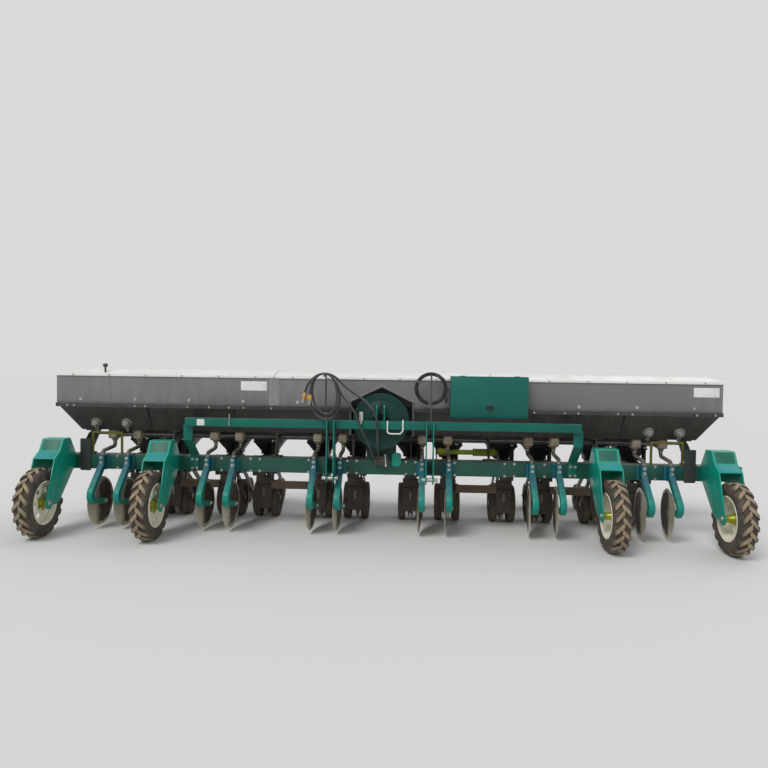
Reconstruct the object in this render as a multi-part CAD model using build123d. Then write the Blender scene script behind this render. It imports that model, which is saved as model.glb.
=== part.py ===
from build123d import *
from math import hypot, radians, sin, tan
import os

# Precision planter for twelve rows on six ridges, with a full-width fertiliser hopper.
# Millimetres. +Z is up, the tractor is towards -Y, and the machine's centre line is x = 0.
# The origin is on the ground, in the middle of the machine's box.

# Working layout across the machine
ridge_pitch = 1100.0
ridge_count = 6
opener_spread = 134.0          # from a ridge's centre line to its two fertiliser openers
row_pitch = 1000.0             # from the middle of one pair of seed rows to the next
row_spread = 200.0             # from there to each row of the pair
wheel_track_shares = (-3.0, -2.0, 2.0, 3.0)    # ground wheels stand on the ridge furrows

# Fits that every piece uses
seat_gap = 0.3                 # between pieces that are bolted or laid together
running_gap = 0.1              # radial clearance of a shaft that turns
cut_over = 20.0                # how far a cutting shape runs past what it cuts

# Toolbar: one box-section beam that carries everything
bar_length = 7200.0
bar_size = 150.0
bar_wall = 8.0
bar_z = 665.0
end_cap = 6.0

# Ground wheels, one ahead of the toolbar in each fork
wheel_ahead = 595.0
tyre_radius = 335.0
tread_share = 0.86             # of the height from bead to lug tips, where the tread between the lugs lies
lug_count = 18
lug_width = 30.0
lug_slant = 45.0
lug_overlap = 8.0              # past the middle of the tread
lug_foot_share = 0.5           # of the height from bead to lug tips, where the lugs end on the walls
bead_radius = 196.0
bead_width = 128.0
rim_flange = 212.0
rim_sheet = 9.0
dish_sheet = 10.0
dish_side = 22.0
dish_hole = 26.0
dish_holes = 6
dish_hole_pitch = 130.0
wheel_hub_radius = 52.0
wheel_hub_length = 186.0
axle_radius = 12.5
axle_head = 21.0
axle_head_length = 14.0

# Wheel forks
fork_gap = 202.0
fork_plate = 10.0
fork_top = 925.0
fork_eye = 62.0

# Press wheels, the rearmost pieces
press_behind = 1250.0
press_radius = 150.0
press_width = 74.0
press_hub = 34.0

# Gauge wheels, a pair on each row
gauge_behind = 555.0
gauge_radius = 200.0
gauge_width = 78.0
gauge_gap = 114.0
gauge_hub = 46.0
stub_radius = 15.0

# Origin in the middle between the tyres' front and the press wheels' rear
bar_y = (wheel_ahead + tyre_radius - press_behind - press_radius) / 2

# Fertiliser hopper in three tubs
hopper_half = 3380.0
tub_joint = 1100.0
hopper_ahead = 105.0
hopper_depth = 600.0
hopper_rim = 1560.0
hopper_waist = 1270.0
trough_z = 985.0
trough_width = 240.0
end_slope = 180.0
sheet = 5.0

# Lids of the hopper
lid_skirt = 22.0
lid_rise = 53.0
lid_over = 12.0
lid_gap = 10.0
lid_end_slope = 100.0
lid_side_slope = 200.0
lid_sheet = 5.0
hinge_radius = 8.0
hinge_length = 60.0

# Recess in the middle tub that goes round the fan
recess_half = 320.0
recess_shoulder = 1330.0
recess_peak = 1487.0
recess_depth = 300.0

# Fan
fan_radius = 280.0
fan_z = 1150.0
fan_front = 250.0
fan_depth = 220.0
fan_foot_width = 300.0
fan_foot_depth = 36.0
fan_flange = 14.0              # how far the drum's flanges stand out
fan_flange_plate = 8.0
fan_step = 14.0
fan_step_radius = 205.0
fan_collar_radius = 95.0
fan_inlet = 74.0
fan_inlet_depth = 30.0
fan_ribs = 8
fan_rib = 10.0

# Supports between toolbar and hopper
support_places = (300.0, 1100.0, 2200.0, 3100.0)
support_plate = 12.0
support_foot = 120.0

# Upper bar, its legs, and the hitch
upper_bar_half = 1950.0
upper_bar_size = 80.0
upper_bar_wall = 6.0
upper_bar_z = 1120.0
upper_bar_ahead = 295.0
leg_place = 1930.0
leg_width = 90.0
leg_plate = 12.0
hitch_width = 975.0
hitch_pin_z = 595.0
hitch_pin_ahead = 370.0
hitch_pin_radius = 18.3
hitch_pin_inner = 79.0         # from the middle of a mast to the pin's inner end
hitch_pin_free = 34.0          # free end outside the collar
hitch_pin_collar = 24.0
hitch_pin_collar_length = 6.0
mast_gap = 56.0
mast_plate = 12.0
mast_depth = 60.0
mast_eye = 46.0
top_link_above = 685.0         # upper hitch point over the lower ones
top_link_hole = 16.1
top_link_gap = 62.0
top_link_eye = 40.0
top_link_foot = 76.0

# Fertiliser openers, each a bent arm round a coulter disc
disc_radius = 250.0
disc_sheet = 6.0
disc_z = 270.0
disc_ahead = 125.0
disc_offset = 22.0
disc_angle = 5.0
disc_hub = 44.0
disc_hub_length = 18.0
disc_bevel = 24.0
arm_width = 60.0
arm_depth = 60.0
arm_bend = 60.0
arm_foot_width = 24.0
arm_foot_inset = 4.0
arm_boss = 32.0
arm_top = 742.0

# Fertiliser meters under the trough, on one shaft each side
meter_width = 90.0
meter_depth = 130.0
meter_height = 100.0
meter_behind = 165.0
meter_shaft = 12.0
meter_shaft_end = 3112.0
meter_shaft_start = 372.0
meter_spout = 30.0
meter_spout_length = 22.0
fertiliser_hose = 20.0
hose_over_bar = 64.0

# Seed rows
bracket_plate = 16.0
bracket_width = 130.0
link_front = 120.0
link_rear = 410.0
link_high = 690.0
link_low = 560.0
link_drop = 40.0
link_width = 78.0
link_sheet = 14.0
link_eye = 22.0
link_pin = 10.0
side_gap = 92.0
side_plate = 10.0
head_front = 388.0
head_rear = 770.0
head_top = 690.0
head_low = 470.0
press_arm_eye = 26.0
gauge_arm = 12.0
gauge_arm_inset = 40.0
shield_clear = 12.0            # ahead of the seed discs
shield_plate = 8.0
shield_width = 170.0
shield_low = 130.0
shield_taper = 22.0
shield_rib = 36.0
seed_shank = 16.0
seed_shank_front = 505.0
seed_shank_rear = 640.0
seed_shank_low = 70.0
seed_disc_radius = 178.0
seed_disc_sheet = 4.0
seed_disc_z = 190.0
seed_disc_behind = 525.0
seed_disc_offset = 20.0
seed_disc_angle = 5.0
seed_disc_hub = 30.0
press_pin = 10.0

# Seed hoppers, meters and the vacuum line
seed_box_width = 330.0
seed_box_front = 485.0
seed_box_rear = 815.0
seed_box_top = 1045.0
seed_box_waist = 830.0
seed_box_neck_share = 0.55
seed_lid = 28.0
seed_lid_over = 10.0
seed_meter_radius = 112.0
seed_meter_width = 60.0
seed_meter_behind = 600.0
seed_meter_z = 572.0
vacuum_pipe = 50.0
vacuum_pipe_z = 925.0
vacuum_pipe_behind = 390.0
vacuum_pipe_half = 2900.0
vacuum_hose = 24.0
vacuum_hose_bend = 70.0

# Tool box on the hopper's front, with a door hinged at its top edge
box_left = 686.0
box_right = 1450.0
box_low = 1200.0
box_high = 1610.0
box_ahead = 245.0
box_wall = 5.0
box_clear = 6.0                # behind the box, ahead of the lids' front edge
box_rail = 30.0
box_gland = 12.0
door_plate = 6.0
door_gap = 6.0

# Fan drive: valve block on the toolbar, and the guarded cross shaft
valve_x = 0.0
valve_width = 150.0
valve_height = 90.0
valve_depth = 60.0
valve_z = 740.0
valve_port = 14.0
guard_left = 560.0
guard_right = 1215.0
guard_radius = 42.0
guard_neck = 26.0
guard_behind = 240.0
guard_z = 795.0
guard_cone = 130.0

# Hose stands and the hoses that hang on them
stand_rod = 8.0
# Columns: across, and how far the rod's top reaches to the rear
stand_table = ((-545.0, -175.0), (495.0, 105.0))
stand_high = 1600.0
coil_mean = 150.0
coil_thick = 50.0
coil_deep = 44.0
coil_ahead = 215.0
hose_radius = 11.0
coupler_radius = 17.0
coupler_length = 62.0
cap_radius = 22.0
cap_length = 40.0
plug_radius = 15.0
plug_length = 64.0

# Routes of the two loose hydraulic hoses
# Columns: across, ahead of the toolbar's centre line, up
pressure_hose_route = (
    (-20.0, 161.0, 765.0), (-20.0, 225.0, 765.0), (-22.0, 300.0, 835.0), (-24.0, 355.0, 930.0),
    (-25.0, 372.0, 1055.0), (-32.0, 386.0, 1180.0), (-80.0, 392.0, 1290.0), (-165.0, 388.0, 1375.0),
    (-262.0, 378.0, 1435.0), (-352.0, 368.0, 1500.0), (-425.0, 362.0, 1575.0), (-500.0, 358.0, 1621.0),
    (-590.0, 358.0, 1621.0), (-662.0, 360.0, 1565.0), (-702.0, 364.0, 1450.0), (-690.0, 370.0, 1320.0),
    (-635.0, 378.0, 1215.0), (-545.0, 388.0, 1165.0), (-455.0, 400.0, 1195.0), (-398.0, 410.0, 1295.0),
    (-390.0, 418.0, 1420.0), (-425.0, 422.0, 1540.0), (-500.0, 424.0, 1621.0), (-590.0, 424.0, 1621.0),
    (-668.0, 425.0, 1570.0), (-716.0, 426.0, 1500.0), (-732.0, 427.0, 1432.0))
return_hose_route = (
    (-60.0, 161.0, 765.0), (-60.0, 225.0, 765.0), (-75.0, 300.0, 822.0), (-98.0, 352.0, 900.0),
    (-135.0, 378.0, 985.0), (-180.0, 398.0, 1075.0), (-218.0, 412.0, 1175.0), (-258.0, 414.0, 1270.0),
    (-320.0, 400.0, 1345.0), (-385.0, 390.0, 1425.0), (-432.0, 388.0, 1520.0), (-500.0, 391.0, 1621.0),
    (-590.0, 391.0, 1621.0), (-650.0, 392.0, 1565.0), (-672.0, 394.0, 1455.0), (-650.0, 399.0, 1335.0),
    (-590.0, 408.0, 1250.0), (-510.0, 420.0, 1222.0), (-445.0, 434.0, 1265.0), (-415.0, 446.0, 1365.0),
    (-420.0, 453.0, 1480.0), (-450.0, 456.0, 1570.0), (-500.0, 457.0, 1621.0), (-590.0, 457.0, 1621.0),
    (-650.0, 456.0, 1572.0), (-676.0, 454.0, 1492.0), (-680.0, 452.0, 1418.0))

bar_front = bar_y - bar_size / 2
bar_rear = bar_y + bar_size / 2
bar_top = bar_z + bar_size / 2
bar_low = bar_z - bar_size / 2
wheel_places = [share * ridge_pitch for share in wheel_track_shares]
ridge_places = [(number - (ridge_count - 1) / 2) * ridge_pitch for number in range(ridge_count)]
opener_places = [ridge + side * opener_spread for ridge in ridge_places for side in (-1, 1)]
row_places = [(number - (ridge_count - 1) / 2) * row_pitch + side * row_spread
              for number in range(ridge_count) for side in (-1, 1)]
axle_y = bar_y - wheel_ahead
hopper_front = bar_y - hopper_ahead
hopper_rear = hopper_front + hopper_depth
trough_front = hopper_front + (hopper_depth - trough_width) / 2
trough_rear = trough_front + trough_width


def block(x_low, x_high, y_low, y_high, z_low, z_high):
    """A box between two corners."""
    middle = Pos((x_low + x_high) / 2, (y_low + y_high) / 2, (z_low + z_high) / 2)
    return middle * Box(x_high - x_low, y_high - y_low, z_high - z_low)


def side_profile(points, x_low, x_high):
    """A plate whose outline is drawn in the side view, as (y, z), cut from x_low to x_high."""
    face = Plane.YZ * Polygon(*points, align=None)
    return Pos(x_low, 0, 0) * extrude(face, amount=x_high - x_low, dir=(1, 0, 0))


def front_profile(points, y_low, y_high):
    """A plate whose outline is drawn in the front view, as (x, z), cut from y_low to y_high."""
    face = Plane.XZ * Polygon(*points, align=None)
    return Pos(0, y_low, 0) * extrude(face, amount=y_high - y_low, dir=(0, 1, 0))


def rod_x(x_low, x_high, y, z, radius):
    """A round bar along x."""
    return Pos((x_low + x_high) / 2, y, z) * Rot(0, 90, 0) * Cylinder(radius, x_high - x_low)


def rod_y(x, y_low, y_high, z, radius):
    """A round bar along y."""
    return Pos(x, (y_low + y_high) / 2, z) * Rot(90, 0, 0) * Cylinder(radius, y_high - y_low)


def rod_z(x, y, z_low, z_high, radius):
    """A round bar along z."""
    return Pos(x, y, (z_low + z_high) / 2) * Cylinder(radius, z_high - z_low)


def turned(outline):
    """A round piece about the x axis, from its outline as (x, radius)."""
    return revolve(Plane.XZ * Polygon(*outline, align=None), axis=Axis.X)


def beside(points, distance):
    """The points of a line that runs beside another at an even distance, to its left."""
    moved = []
    for number, (y, z) in enumerate(points):
        before = points[max(number - 1, 0)]
        after = points[min(number + 1, len(points) - 1)]
        legs = []
        for start, end in ((before, (y, z)), ((y, z), after)):
            run = hypot(end[0] - start[0], end[1] - start[1])
            if run > 0:
                legs.append(((start[1] - end[1]) / run, (end[0] - start[0]) / run))
        normal_y = sum(leg[0] for leg in legs) / len(legs)
        normal_z = sum(leg[1] for leg in legs) / len(legs)
        size = normal_y * normal_y + normal_z * normal_z
        moved.append((y + distance * normal_y / size, z + distance * normal_z / size))
    return moved


def bent_bar(points, depth, bend, x_low, x_high):
    """A flat bar bent along a line of points in the side view, with round corners."""
    sides = []
    for side in (1, -1):
        radii = []
        for before, here, after in zip(points, points[1:], points[2:]):
            turn = ((here[0] - before[0]) * (after[1] - here[1])
                    - (here[1] - before[1]) * (after[0] - here[0]))
            inside = side if turn > 0 else -side
            radii.append(bend - inside * depth / 2)
        line = beside(points, side * depth / 2)
        if side < 0:
            line = line[::-1]
            radii = radii[::-1]
        sides.append(FilletPolyline(*line, radius=radii) if radii else Line(*line))
    left, right = sides
    outline = Curve() + [left, Line(left @ 1, right @ 0), right, Line(right @ 1, left @ 0)]
    face = Plane.YZ * make_face(outline)
    return Pos(x_low, 0, 0) * extrude(face, amount=x_high - x_low, dir=(1, 0, 0))


def round_tube(points, bends, radius):
    """A round hose along straight runs joined by arcs."""
    path = FilletPolyline(*points, radius=bends)
    return sweep(Plane(origin=path @ 0, z_dir=path % 0) * Circle(radius), path=path)


def toolbar():
    """The main beam, a square tube closed by a cap at each end."""
    half = bar_length / 2 - end_cap
    tube = block(-half, half, bar_front, bar_rear, bar_low, bar_top)
    tube -= block(-half, half, bar_front + bar_wall, bar_rear - bar_wall, bar_low + bar_wall, bar_top - bar_wall)
    for side in (-1, 1):
        x_low, x_high = sorted((side * half, side * bar_length / 2))
        tube += block(x_low, x_high, bar_front, bar_rear, bar_low, bar_top)
    return tube


def tyre_body(height):
    """A tyre's round body about the x axis, of a given height over its beads."""
    outline_shares = ((1.0, 0.0), (1.0, 0.16), (1.26, 0.42), (1.28, 0.72), (1.08, 0.92), (0.62, 1.0))
    right = [(w * bead_width / 2, bead_radius + h * height) for w, h in outline_shares]
    left = [(-x, radius) for x, radius in reversed(right)]
    return turned(right + left)


def tyre():
    """A farm tyre about the x axis, with a ring of slanted lugs on each side of the middle of its tread."""
    height = tyre_radius - bead_radius
    reach = bead_width
    lugs = []
    for side in (-1, 1):
        x_low, x_high = sorted((-side * lug_overlap, side * reach))
        bar = block(x_low, x_high, -lug_width / 2, lug_width / 2, bead_radius + lug_foot_share * height,
                    tyre_radius + lug_width)
        lug = tyre_body(height) & (Rot(0, 0, -side * lug_slant) * bar)
        lugs += [Rot((number + side / 4) * 360 / lug_count, 0, 0) * lug for number in range(lug_count)]
    return tyre_body(tread_share * height).fuse(*lugs)


def rim():
    """A pressed rim with its dish and its hub, bored for the axle."""
    half = bead_width / 2
    inner = bead_radius - seat_gap - rim_sheet
    outer = bead_radius - seat_gap
    flange = half + seat_gap
    barrel = turned(((-flange - rim_sheet, inner), (flange + rim_sheet, inner), (flange + rim_sheet, rim_flange),
                     (flange, rim_flange), (flange, outer), (-flange, outer), (-flange, rim_flange),
                     (-flange - rim_sheet, rim_flange)))
    dish = turned(((dish_side, wheel_hub_radius / 2), (dish_side + dish_sheet, wheel_hub_radius / 2),
                   (dish_side + dish_sheet, inner + rim_sheet / 2), (dish_side, inner + rim_sheet / 2)))
    for number in range(dish_holes):
        turn = Rot(number * 360 / dish_holes, 0, 0)
        dish -= turn * rod_x(dish_side - cut_over, dish_side + dish_sheet + cut_over, 0, dish_hole_pitch, dish_hole)
    hub = rod_x(-wheel_hub_length / 2, wheel_hub_length / 2, 0, 0, wheel_hub_radius)
    return barrel + dish + hub - rod_x(-wheel_hub_length, wheel_hub_length, 0, 0, axle_radius + running_gap)


def fork_points(shares):
    """Places on a fork's side, from shares of its reach from axle to toolbar and of its height."""
    reach = wheel_ahead - bar_size / 2 - seat_gap
    return [(axle_y + along * reach, tyre_radius + up * (fork_top - tyre_radius)) for along, up in shares]


def wheel_forks():
    """The four forks: two side plates, a bent cover between them and a plate against the toolbar."""
    cover_shares = ((0.77, 1.0), (0.52, 1.0), (0.385, 0.805), (0.185, 0.70))
    front_shares = ((-0.12, 0.01),)
    back_shares = ((0.12, -0.02), (0.36, 0.53), (0.60, 0.50))
    reach_end = bar_front - seat_gap
    outline = ([(reach_end, bar_top)] + fork_points(cover_shares) + fork_points(front_shares)
               + fork_points(back_shares) + [(reach_end, bar_low)])
    cover = fork_points(cover_shares)
    cover_outline = cover + beside(cover, fork_plate)[::-1]
    forks = []
    for place in wheel_places:
        fork = block(place - fork_gap / 2, place + fork_gap / 2, reach_end - fork_plate, reach_end, bar_low, bar_top)
        fork += side_profile(cover_outline, place - fork_gap / 2, place + fork_gap / 2)
        for side in (-1, 1):
            inner = place + side * fork_gap / 2
            x_low, x_high = sorted((inner, inner + side * fork_plate))
            fork += side_profile(outline, x_low, x_high) + rod_x(x_low, x_high, axle_y, tyre_radius, fork_eye)
        hole_half = fork_gap
        fork -= rod_x(place - hole_half, place + hole_half, axle_y, tyre_radius, axle_radius + seat_gap)
        forks.append(fork)
    return forks


def tub_box(x_low, x_high, left_slope, right_slope, wall, top):
    """The space of one tub, drawn in by a wall: upright above the waist, tapered to the trough."""
    front, rear = hopper_front + wall, hopper_rear - wall
    upper = block(x_low + wall, x_high - wall, front, rear, hopper_waist, top)
    low = Rectangle(x_high - x_low - left_slope - right_slope - 2 * wall, trough_width - 2 * wall)
    high = Rectangle(x_high - x_low - 2 * wall, rear - front)
    low_middle = (x_low + left_slope + x_high - right_slope) / 2
    floor = trough_z + wall
    low_face = Pos(low_middle, (front + rear) / 2, floor) * low
    high_face = Pos((x_low + x_high) / 2, (front + rear) / 2, hopper_waist) * high
    return upper + loft([low_face.faces()[0], high_face.faces()[0]], ruled=True)


def recess(wall):
    """The peaked recess that the fan stands in, grown by a wall."""
    half = recess_half + wall
    outline = ((-half, trough_z - cut_over), (half, trough_z - cut_over), (half, recess_shoulder),
               (0, recess_peak + wall), (-half, recess_shoulder))
    return front_profile(outline, hopper_front - cut_over, hopper_front + recess_depth + wall)


def hoppers():
    """Three sheet-metal tubs, bolted end to end."""
    tubs = {}
    # Columns: name, left end, right end, slope of the left end, slope of the right end
    table = (("hopper_left", -hopper_half, -tub_joint - seat_gap / 2, end_slope, 0),
             ("hopper_centre", -tub_joint + seat_gap / 2, tub_joint - seat_gap / 2, 0, 0),
             ("hopper_right", tub_joint + seat_gap / 2, hopper_half, 0, end_slope))
    for name, x_low, x_high, left_slope, right_slope in table:
        outer = tub_box(x_low, x_high, left_slope, right_slope, 0, hopper_rim)
        inner = tub_box(x_low, x_high, left_slope, right_slope, sheet, hopper_rim + cut_over)
        if name == "hopper_centre":
            outer -= recess(0)
            inner -= recess(sheet)
        tubs[name] = outer - inner
    return tubs


def hopper_lids():
    """Three hipped lids, each a folded sheet on hinge knuckles along its rear edge."""
    lids = {}
    # Columns: name, left end, right end, slope of the left end, slope of the right end
    table = (("lid_left", -hopper_half - lid_over, -tub_joint - lid_gap / 2, lid_end_slope, 0),
             ("lid_centre", -tub_joint + lid_gap / 2, tub_joint - lid_gap / 2, 0, 0),
             ("lid_right", tub_joint + lid_gap / 2, hopper_half + lid_over, 0, lid_end_slope))
    low = hopper_rim + seat_gap
    front, rear = hopper_front - lid_over, hopper_rear + lid_over
    for name, x_low, x_high, left_slope, right_slope in table:
        shells = []
        for inset in (0, lid_sheet):
            skirt_top = low + lid_skirt - inset
            bottom = low if inset == 0 else low - cut_over
            skirt = block(x_low + inset, x_high - inset, front + inset, rear - inset, bottom, skirt_top)
            base = Pos((x_low + x_high) / 2, (front + rear) / 2, skirt_top) * Rectangle(
                x_high - x_low - 2 * inset, rear - front - 2 * inset)
            top_width = x_high - x_low - left_slope - right_slope - 2 * inset
            top = Pos((x_low + left_slope + x_high - right_slope) / 2, (front + rear) / 2,
                      skirt_top + lid_rise) * Rectangle(top_width, rear - front - 2 * lid_side_slope)
            shells.append(skirt + loft([base.faces()[0], top.faces()[0]], ruled=True))
        lid = shells[0] - shells[1]
        for share in (0.2, 0.8):
            middle = x_low + share * (x_high - x_low)
            lid += rod_x(middle - hinge_length / 2, middle + hinge_length / 2, lid_hinge_y(), lid_hinge_z(),
                         hinge_radius)
        lids[name] = lid
    return lids


def lid_hinge_y():
    """The lids' hinge line, just behind their rear edge."""
    return hopper_rear + lid_over + hinge_radius / 2


def lid_hinge_z():
    """The height of the lids' hinge line."""
    return hopper_rim + seat_gap + hinge_radius


def hopper_supports():
    """Stands on the toolbar that carry the trough, with holes for the meters' shaft."""
    stands = []
    top = trough_z - seat_gap
    low = bar_top + seat_gap
    outline = ((bar_front, low), (bar_rear, low), (trough_rear, top), (trough_front, top))
    for side in (-1, 1):
        for place in support_places:
            x = side * place
            stand = side_profile(outline, x - support_plate / 2, x + support_plate / 2)
            stand += block(x - support_foot / 2, x + support_foot / 2, bar_front, bar_rear, low, low + support_plate)
            saddle_top = top
            stand += block(x - support_foot / 2, x + support_foot / 2, trough_front, trough_rear,
                           saddle_top - support_plate, saddle_top)
            hole = meter_shaft + seat_gap
            stand -= rod_x(x - support_foot, x + support_foot, bar_y + meter_behind, meter_z(), hole)
            stands.append(stand)
    return stands


def meter_z():
    """The height of the meters' shaft."""
    return trough_z - meter_height / 2


def fertiliser_meters():
    """A metering box under the trough for each opener, on one shaft each side of the machine."""
    sets = []
    middle = bar_y + meter_behind
    top = trough_z - seat_gap
    for side in (-1, 1):
        x_low, x_high = sorted((side * meter_shaft_start, side * meter_shaft_end))
        line = rod_x(x_low, x_high, middle, meter_z(), meter_shaft)
        for place in opener_places:
            if place * side > 0:
                line += block(place - meter_width / 2, place + meter_width / 2, middle - meter_depth / 2,
                              middle + meter_depth / 2, trough_z - meter_height, top)
                low = trough_z - meter_height
                line += rod_z(place, middle, low - meter_spout_length, low, meter_spout)
        sets.append(line)
    return sets


def fertiliser_hoses():
    """A hose from each meter's spout, over the toolbar, down to its opener's arm."""
    hoses = []
    start = bar_y + meter_behind
    start_z = trough_z - meter_height - meter_spout_length - seat_gap
    over_bar = bar_top + hose_over_bar
    end_y = bar_y - disc_ahead + arm_foot_inset
    bend = fertiliser_hose * 1.6
    for place in opener_places:
        route = ((place, start, start_z), (place, start, over_bar), (place, end_y, over_bar - fertiliser_hose),
                 (place, end_y, arm_top + seat_gap))
        hoses.append(round_tube(route, [bend, bend / 2], fertiliser_hose))
    return hoses


def opener_arms():
    """The bent arms: clamped to the toolbar's front, swept round the disc, back to its hub."""
    top_y = bar_y - disc_ahead
    # Shares of the way from the disc's hub to its front edge, and of the height from hub to arm top
    upper_shares = ((0.04, 1.0), (0.04, 0.79), (1.04, 0.28), (1.08, 0.17), (0.85, 0.06))
    lower_shares = ((1.04, 0.24), (0.92, 0.10), (0.0, 0.0))
    rise = arm_top - disc_z
    upper = [(top_y - along * disc_radius, disc_z + up * rise) for along, up in upper_shares]
    lower = [(top_y - along * disc_radius, disc_z + up * rise) for along, up in lower_shares]
    boss_end = -disc_offset + disc_hub_length / 2 + arm_boss * sin(radians(disc_angle)) + seat_gap
    arms = []
    for place in opener_places:
        arm = bent_bar(upper, arm_depth, arm_bend, place - arm_width / 2, place + arm_width / 2)
        foot_low = place + arm_foot_inset
        arm += bent_bar(lower, arm_depth, arm_bend, foot_low, foot_low + arm_foot_width)
        arm += rod_x(place + boss_end, foot_low + arm_foot_width, top_y, disc_z, arm_boss)
        arm += block(place - arm_width / 2, place + arm_width / 2, upper[0][0], bar_front - seat_gap,
                     bar_low, bar_top)
        arms.append(arm)
    return arms


def coulter(radius, thickness, bevel, hub, hub_length):
    """A flat disc about the x axis, ground to an edge, with a hub on both sides."""
    edge = thickness / 6
    half = thickness / 2
    return turned(((-hub_length / 2, 0), (hub_length / 2, 0), (hub_length / 2, hub), (half, hub),
                   (half, radius - bevel), (edge, radius), (-edge, radius), (-half, radius - bevel),
                   (-half, hub), (-hub_length / 2, hub)))


def discs():
    """All discs: one on each opener arm, and a pair in each seed row that meets at the front."""
    opener = coulter(disc_radius, disc_sheet, disc_bevel, disc_hub, disc_hub_length)
    seeder = coulter(seed_disc_radius, seed_disc_sheet, disc_bevel, seed_disc_hub, seed_disc_sheet * 2)
    made = []
    for place in opener_places:
        made.append(Pos(place - disc_offset, bar_y - disc_ahead, disc_z) * Rot(0, 0, -disc_angle) * opener)
    for place in row_places:
        for side in (-1, 1):
            spot = Pos(place + side * seed_disc_offset, bar_y + seed_disc_behind, seed_disc_z)
            made.append(spot * Rot(0, 0, -side * seed_disc_angle) * seeder)
    return made


def upper_frame():
    """The upper bar with its two bent legs, the hose stands, and the clamp plates of the legs."""
    y = bar_y - upper_bar_ahead
    half = upper_bar_size / 2
    bar = block(-upper_bar_half, upper_bar_half, y - half, y + half, upper_bar_z - half, upper_bar_z + half)
    inner = half - upper_bar_wall
    bar -= block(-upper_bar_half + end_cap, upper_bar_half - end_cap, y - inner, y + inner,
                 upper_bar_z - inner, upper_bar_z + inner)
    start = upper_bar_z - half
    drop = start - bar_top
    # Shares of the way back to the toolbar and of the drop to its top
    knee_shares = ((0.0, 0.0), (0.0, 0.45), (0.86, 0.93), (0.86, 1.35))
    reach = bar_front - seat_gap - leg_plate / 2 - y
    knees = [(y + along / 0.86 * reach, start + leg_plate - up * (drop + leg_plate)) for along, up in knee_shares]
    for side in (-1, 1):
        x = side * leg_place
        bar += bent_bar(knees, leg_plate, leg_plate * 2, x - leg_width / 2, x + leg_width / 2)
    for place, reach in stand_table:
        top = upper_bar_z + half
        bar += rod_z(place, y, top - upper_bar_wall, stand_high + stand_rod, stand_rod)
        y_low, y_high = sorted((y, y + reach))
        bar += rod_y(place, y_low, y_high, stand_high, stand_rod)
    return bar


def hitch_masts():
    """Two pairs of mast plates for the lower links, and the pair of plates for the top link."""
    bar_ahead = bar_y - upper_bar_ahead
    notch = upper_bar_size / 2 + seat_gap
    plates = []
    pin_y = bar_y - hitch_pin_ahead
    front = bar_ahead - notch - mast_depth
    rear = bar_front - seat_gap
    top = upper_bar_z + upper_bar_size / 2
    knee = hitch_pin_z + 0.42 * (top - hitch_pin_z)
    outline = ((rear, bar_low), (rear, bar_top), (bar_ahead + notch, knee), (bar_ahead + notch, top),
               (front, top), (pin_y - mast_eye, hitch_pin_z), (pin_y, hitch_pin_z - mast_eye * 0.9))
    for side in (-1, 1):
        middle = side * hitch_width / 2
        for inner_side in (-1, 1):
            inner = middle + inner_side * mast_gap / 2
            x_low, x_high = sorted((inner, inner + inner_side * mast_plate))
            plate = side_profile(outline, x_low, x_high) + rod_x(x_low, x_high, pin_y, hitch_pin_z, mast_eye)
            plate -= block(x_low - cut_over, x_high + cut_over, bar_ahead - notch, bar_ahead + notch + cut_over,
                           upper_bar_z - notch, top + cut_over)
            plate -= rod_x(x_low - cut_over, x_high + cut_over, pin_y, hitch_pin_z, hitch_pin_radius + seat_gap)
            plates.append(plate)
    link_z = hitch_pin_z + top_link_above
    foot_z = top + seat_gap
    for side in (-1, 1):
        inner = side * top_link_gap / 2
        x_low, x_high = sorted((inner, inner + side * mast_plate))
        outline = ((bar_ahead - top_link_foot / 2, foot_z), (bar_ahead + top_link_foot / 2, foot_z),
                   (bar_ahead + top_link_foot / 2, link_z), (bar_ahead - top_link_foot / 2, link_z))
        plate = side_profile(outline, x_low, x_high) + rod_x(x_low, x_high, bar_ahead, link_z, top_link_eye)
        plate -= rod_x(x_low - cut_over, x_high + cut_over, bar_ahead, link_z, top_link_hole)
        plates.append(plate)
    return plates


def fan_housing():
    """The vacuum fan: a drum with its motor in front, a foot on the toolbar and a duct to the rear."""
    front = bar_y - fan_front
    rear = front + fan_depth
    face = front + fan_step
    drum = rod_y(0, face, rear, fan_z, fan_radius - fan_flange)
    for start in (face, rear - fan_flange_plate):
        drum += rod_y(0, start, start + fan_flange_plate, fan_z, fan_radius)
    drum += rod_y(0, front, face + fan_flange, fan_z, fan_collar_radius)
    step = rod_y(0, front + fan_step / 2, face + fan_flange, fan_z, fan_step_radius)
    for number in range(fan_ribs):
        rib = block(fan_collar_radius / 2, fan_radius - fan_flange, front + fan_step / 4, face + fan_flange,
                    -fan_rib / 2, fan_rib / 2)
        step += Pos(0, 0, fan_z) * Rot(0, number * 360 / fan_ribs, 0) * rib
    drum += step
    drum -= rod_y(0, front - cut_over, front + fan_inlet_depth, fan_z, fan_inlet)
    foot_rear = rear
    drum += block(-fan_foot_width / 2, fan_foot_width / 2, bar_front, bar_front + fan_foot_depth,
                  bar_top + seat_gap, fan_z - fan_radius / 2)
    drum += block(-fan_foot_width / 2, fan_foot_width / 2, bar_front, bar_rear, bar_top + seat_gap,
                  bar_top + fan_foot_depth / 2)
    duct_end = bar_y + vacuum_pipe_behind - vacuum_pipe - seat_gap
    drum += rod_y(0, foot_rear - cut_over, duct_end, vacuum_pipe_z, vacuum_pipe)
    return drum


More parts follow.
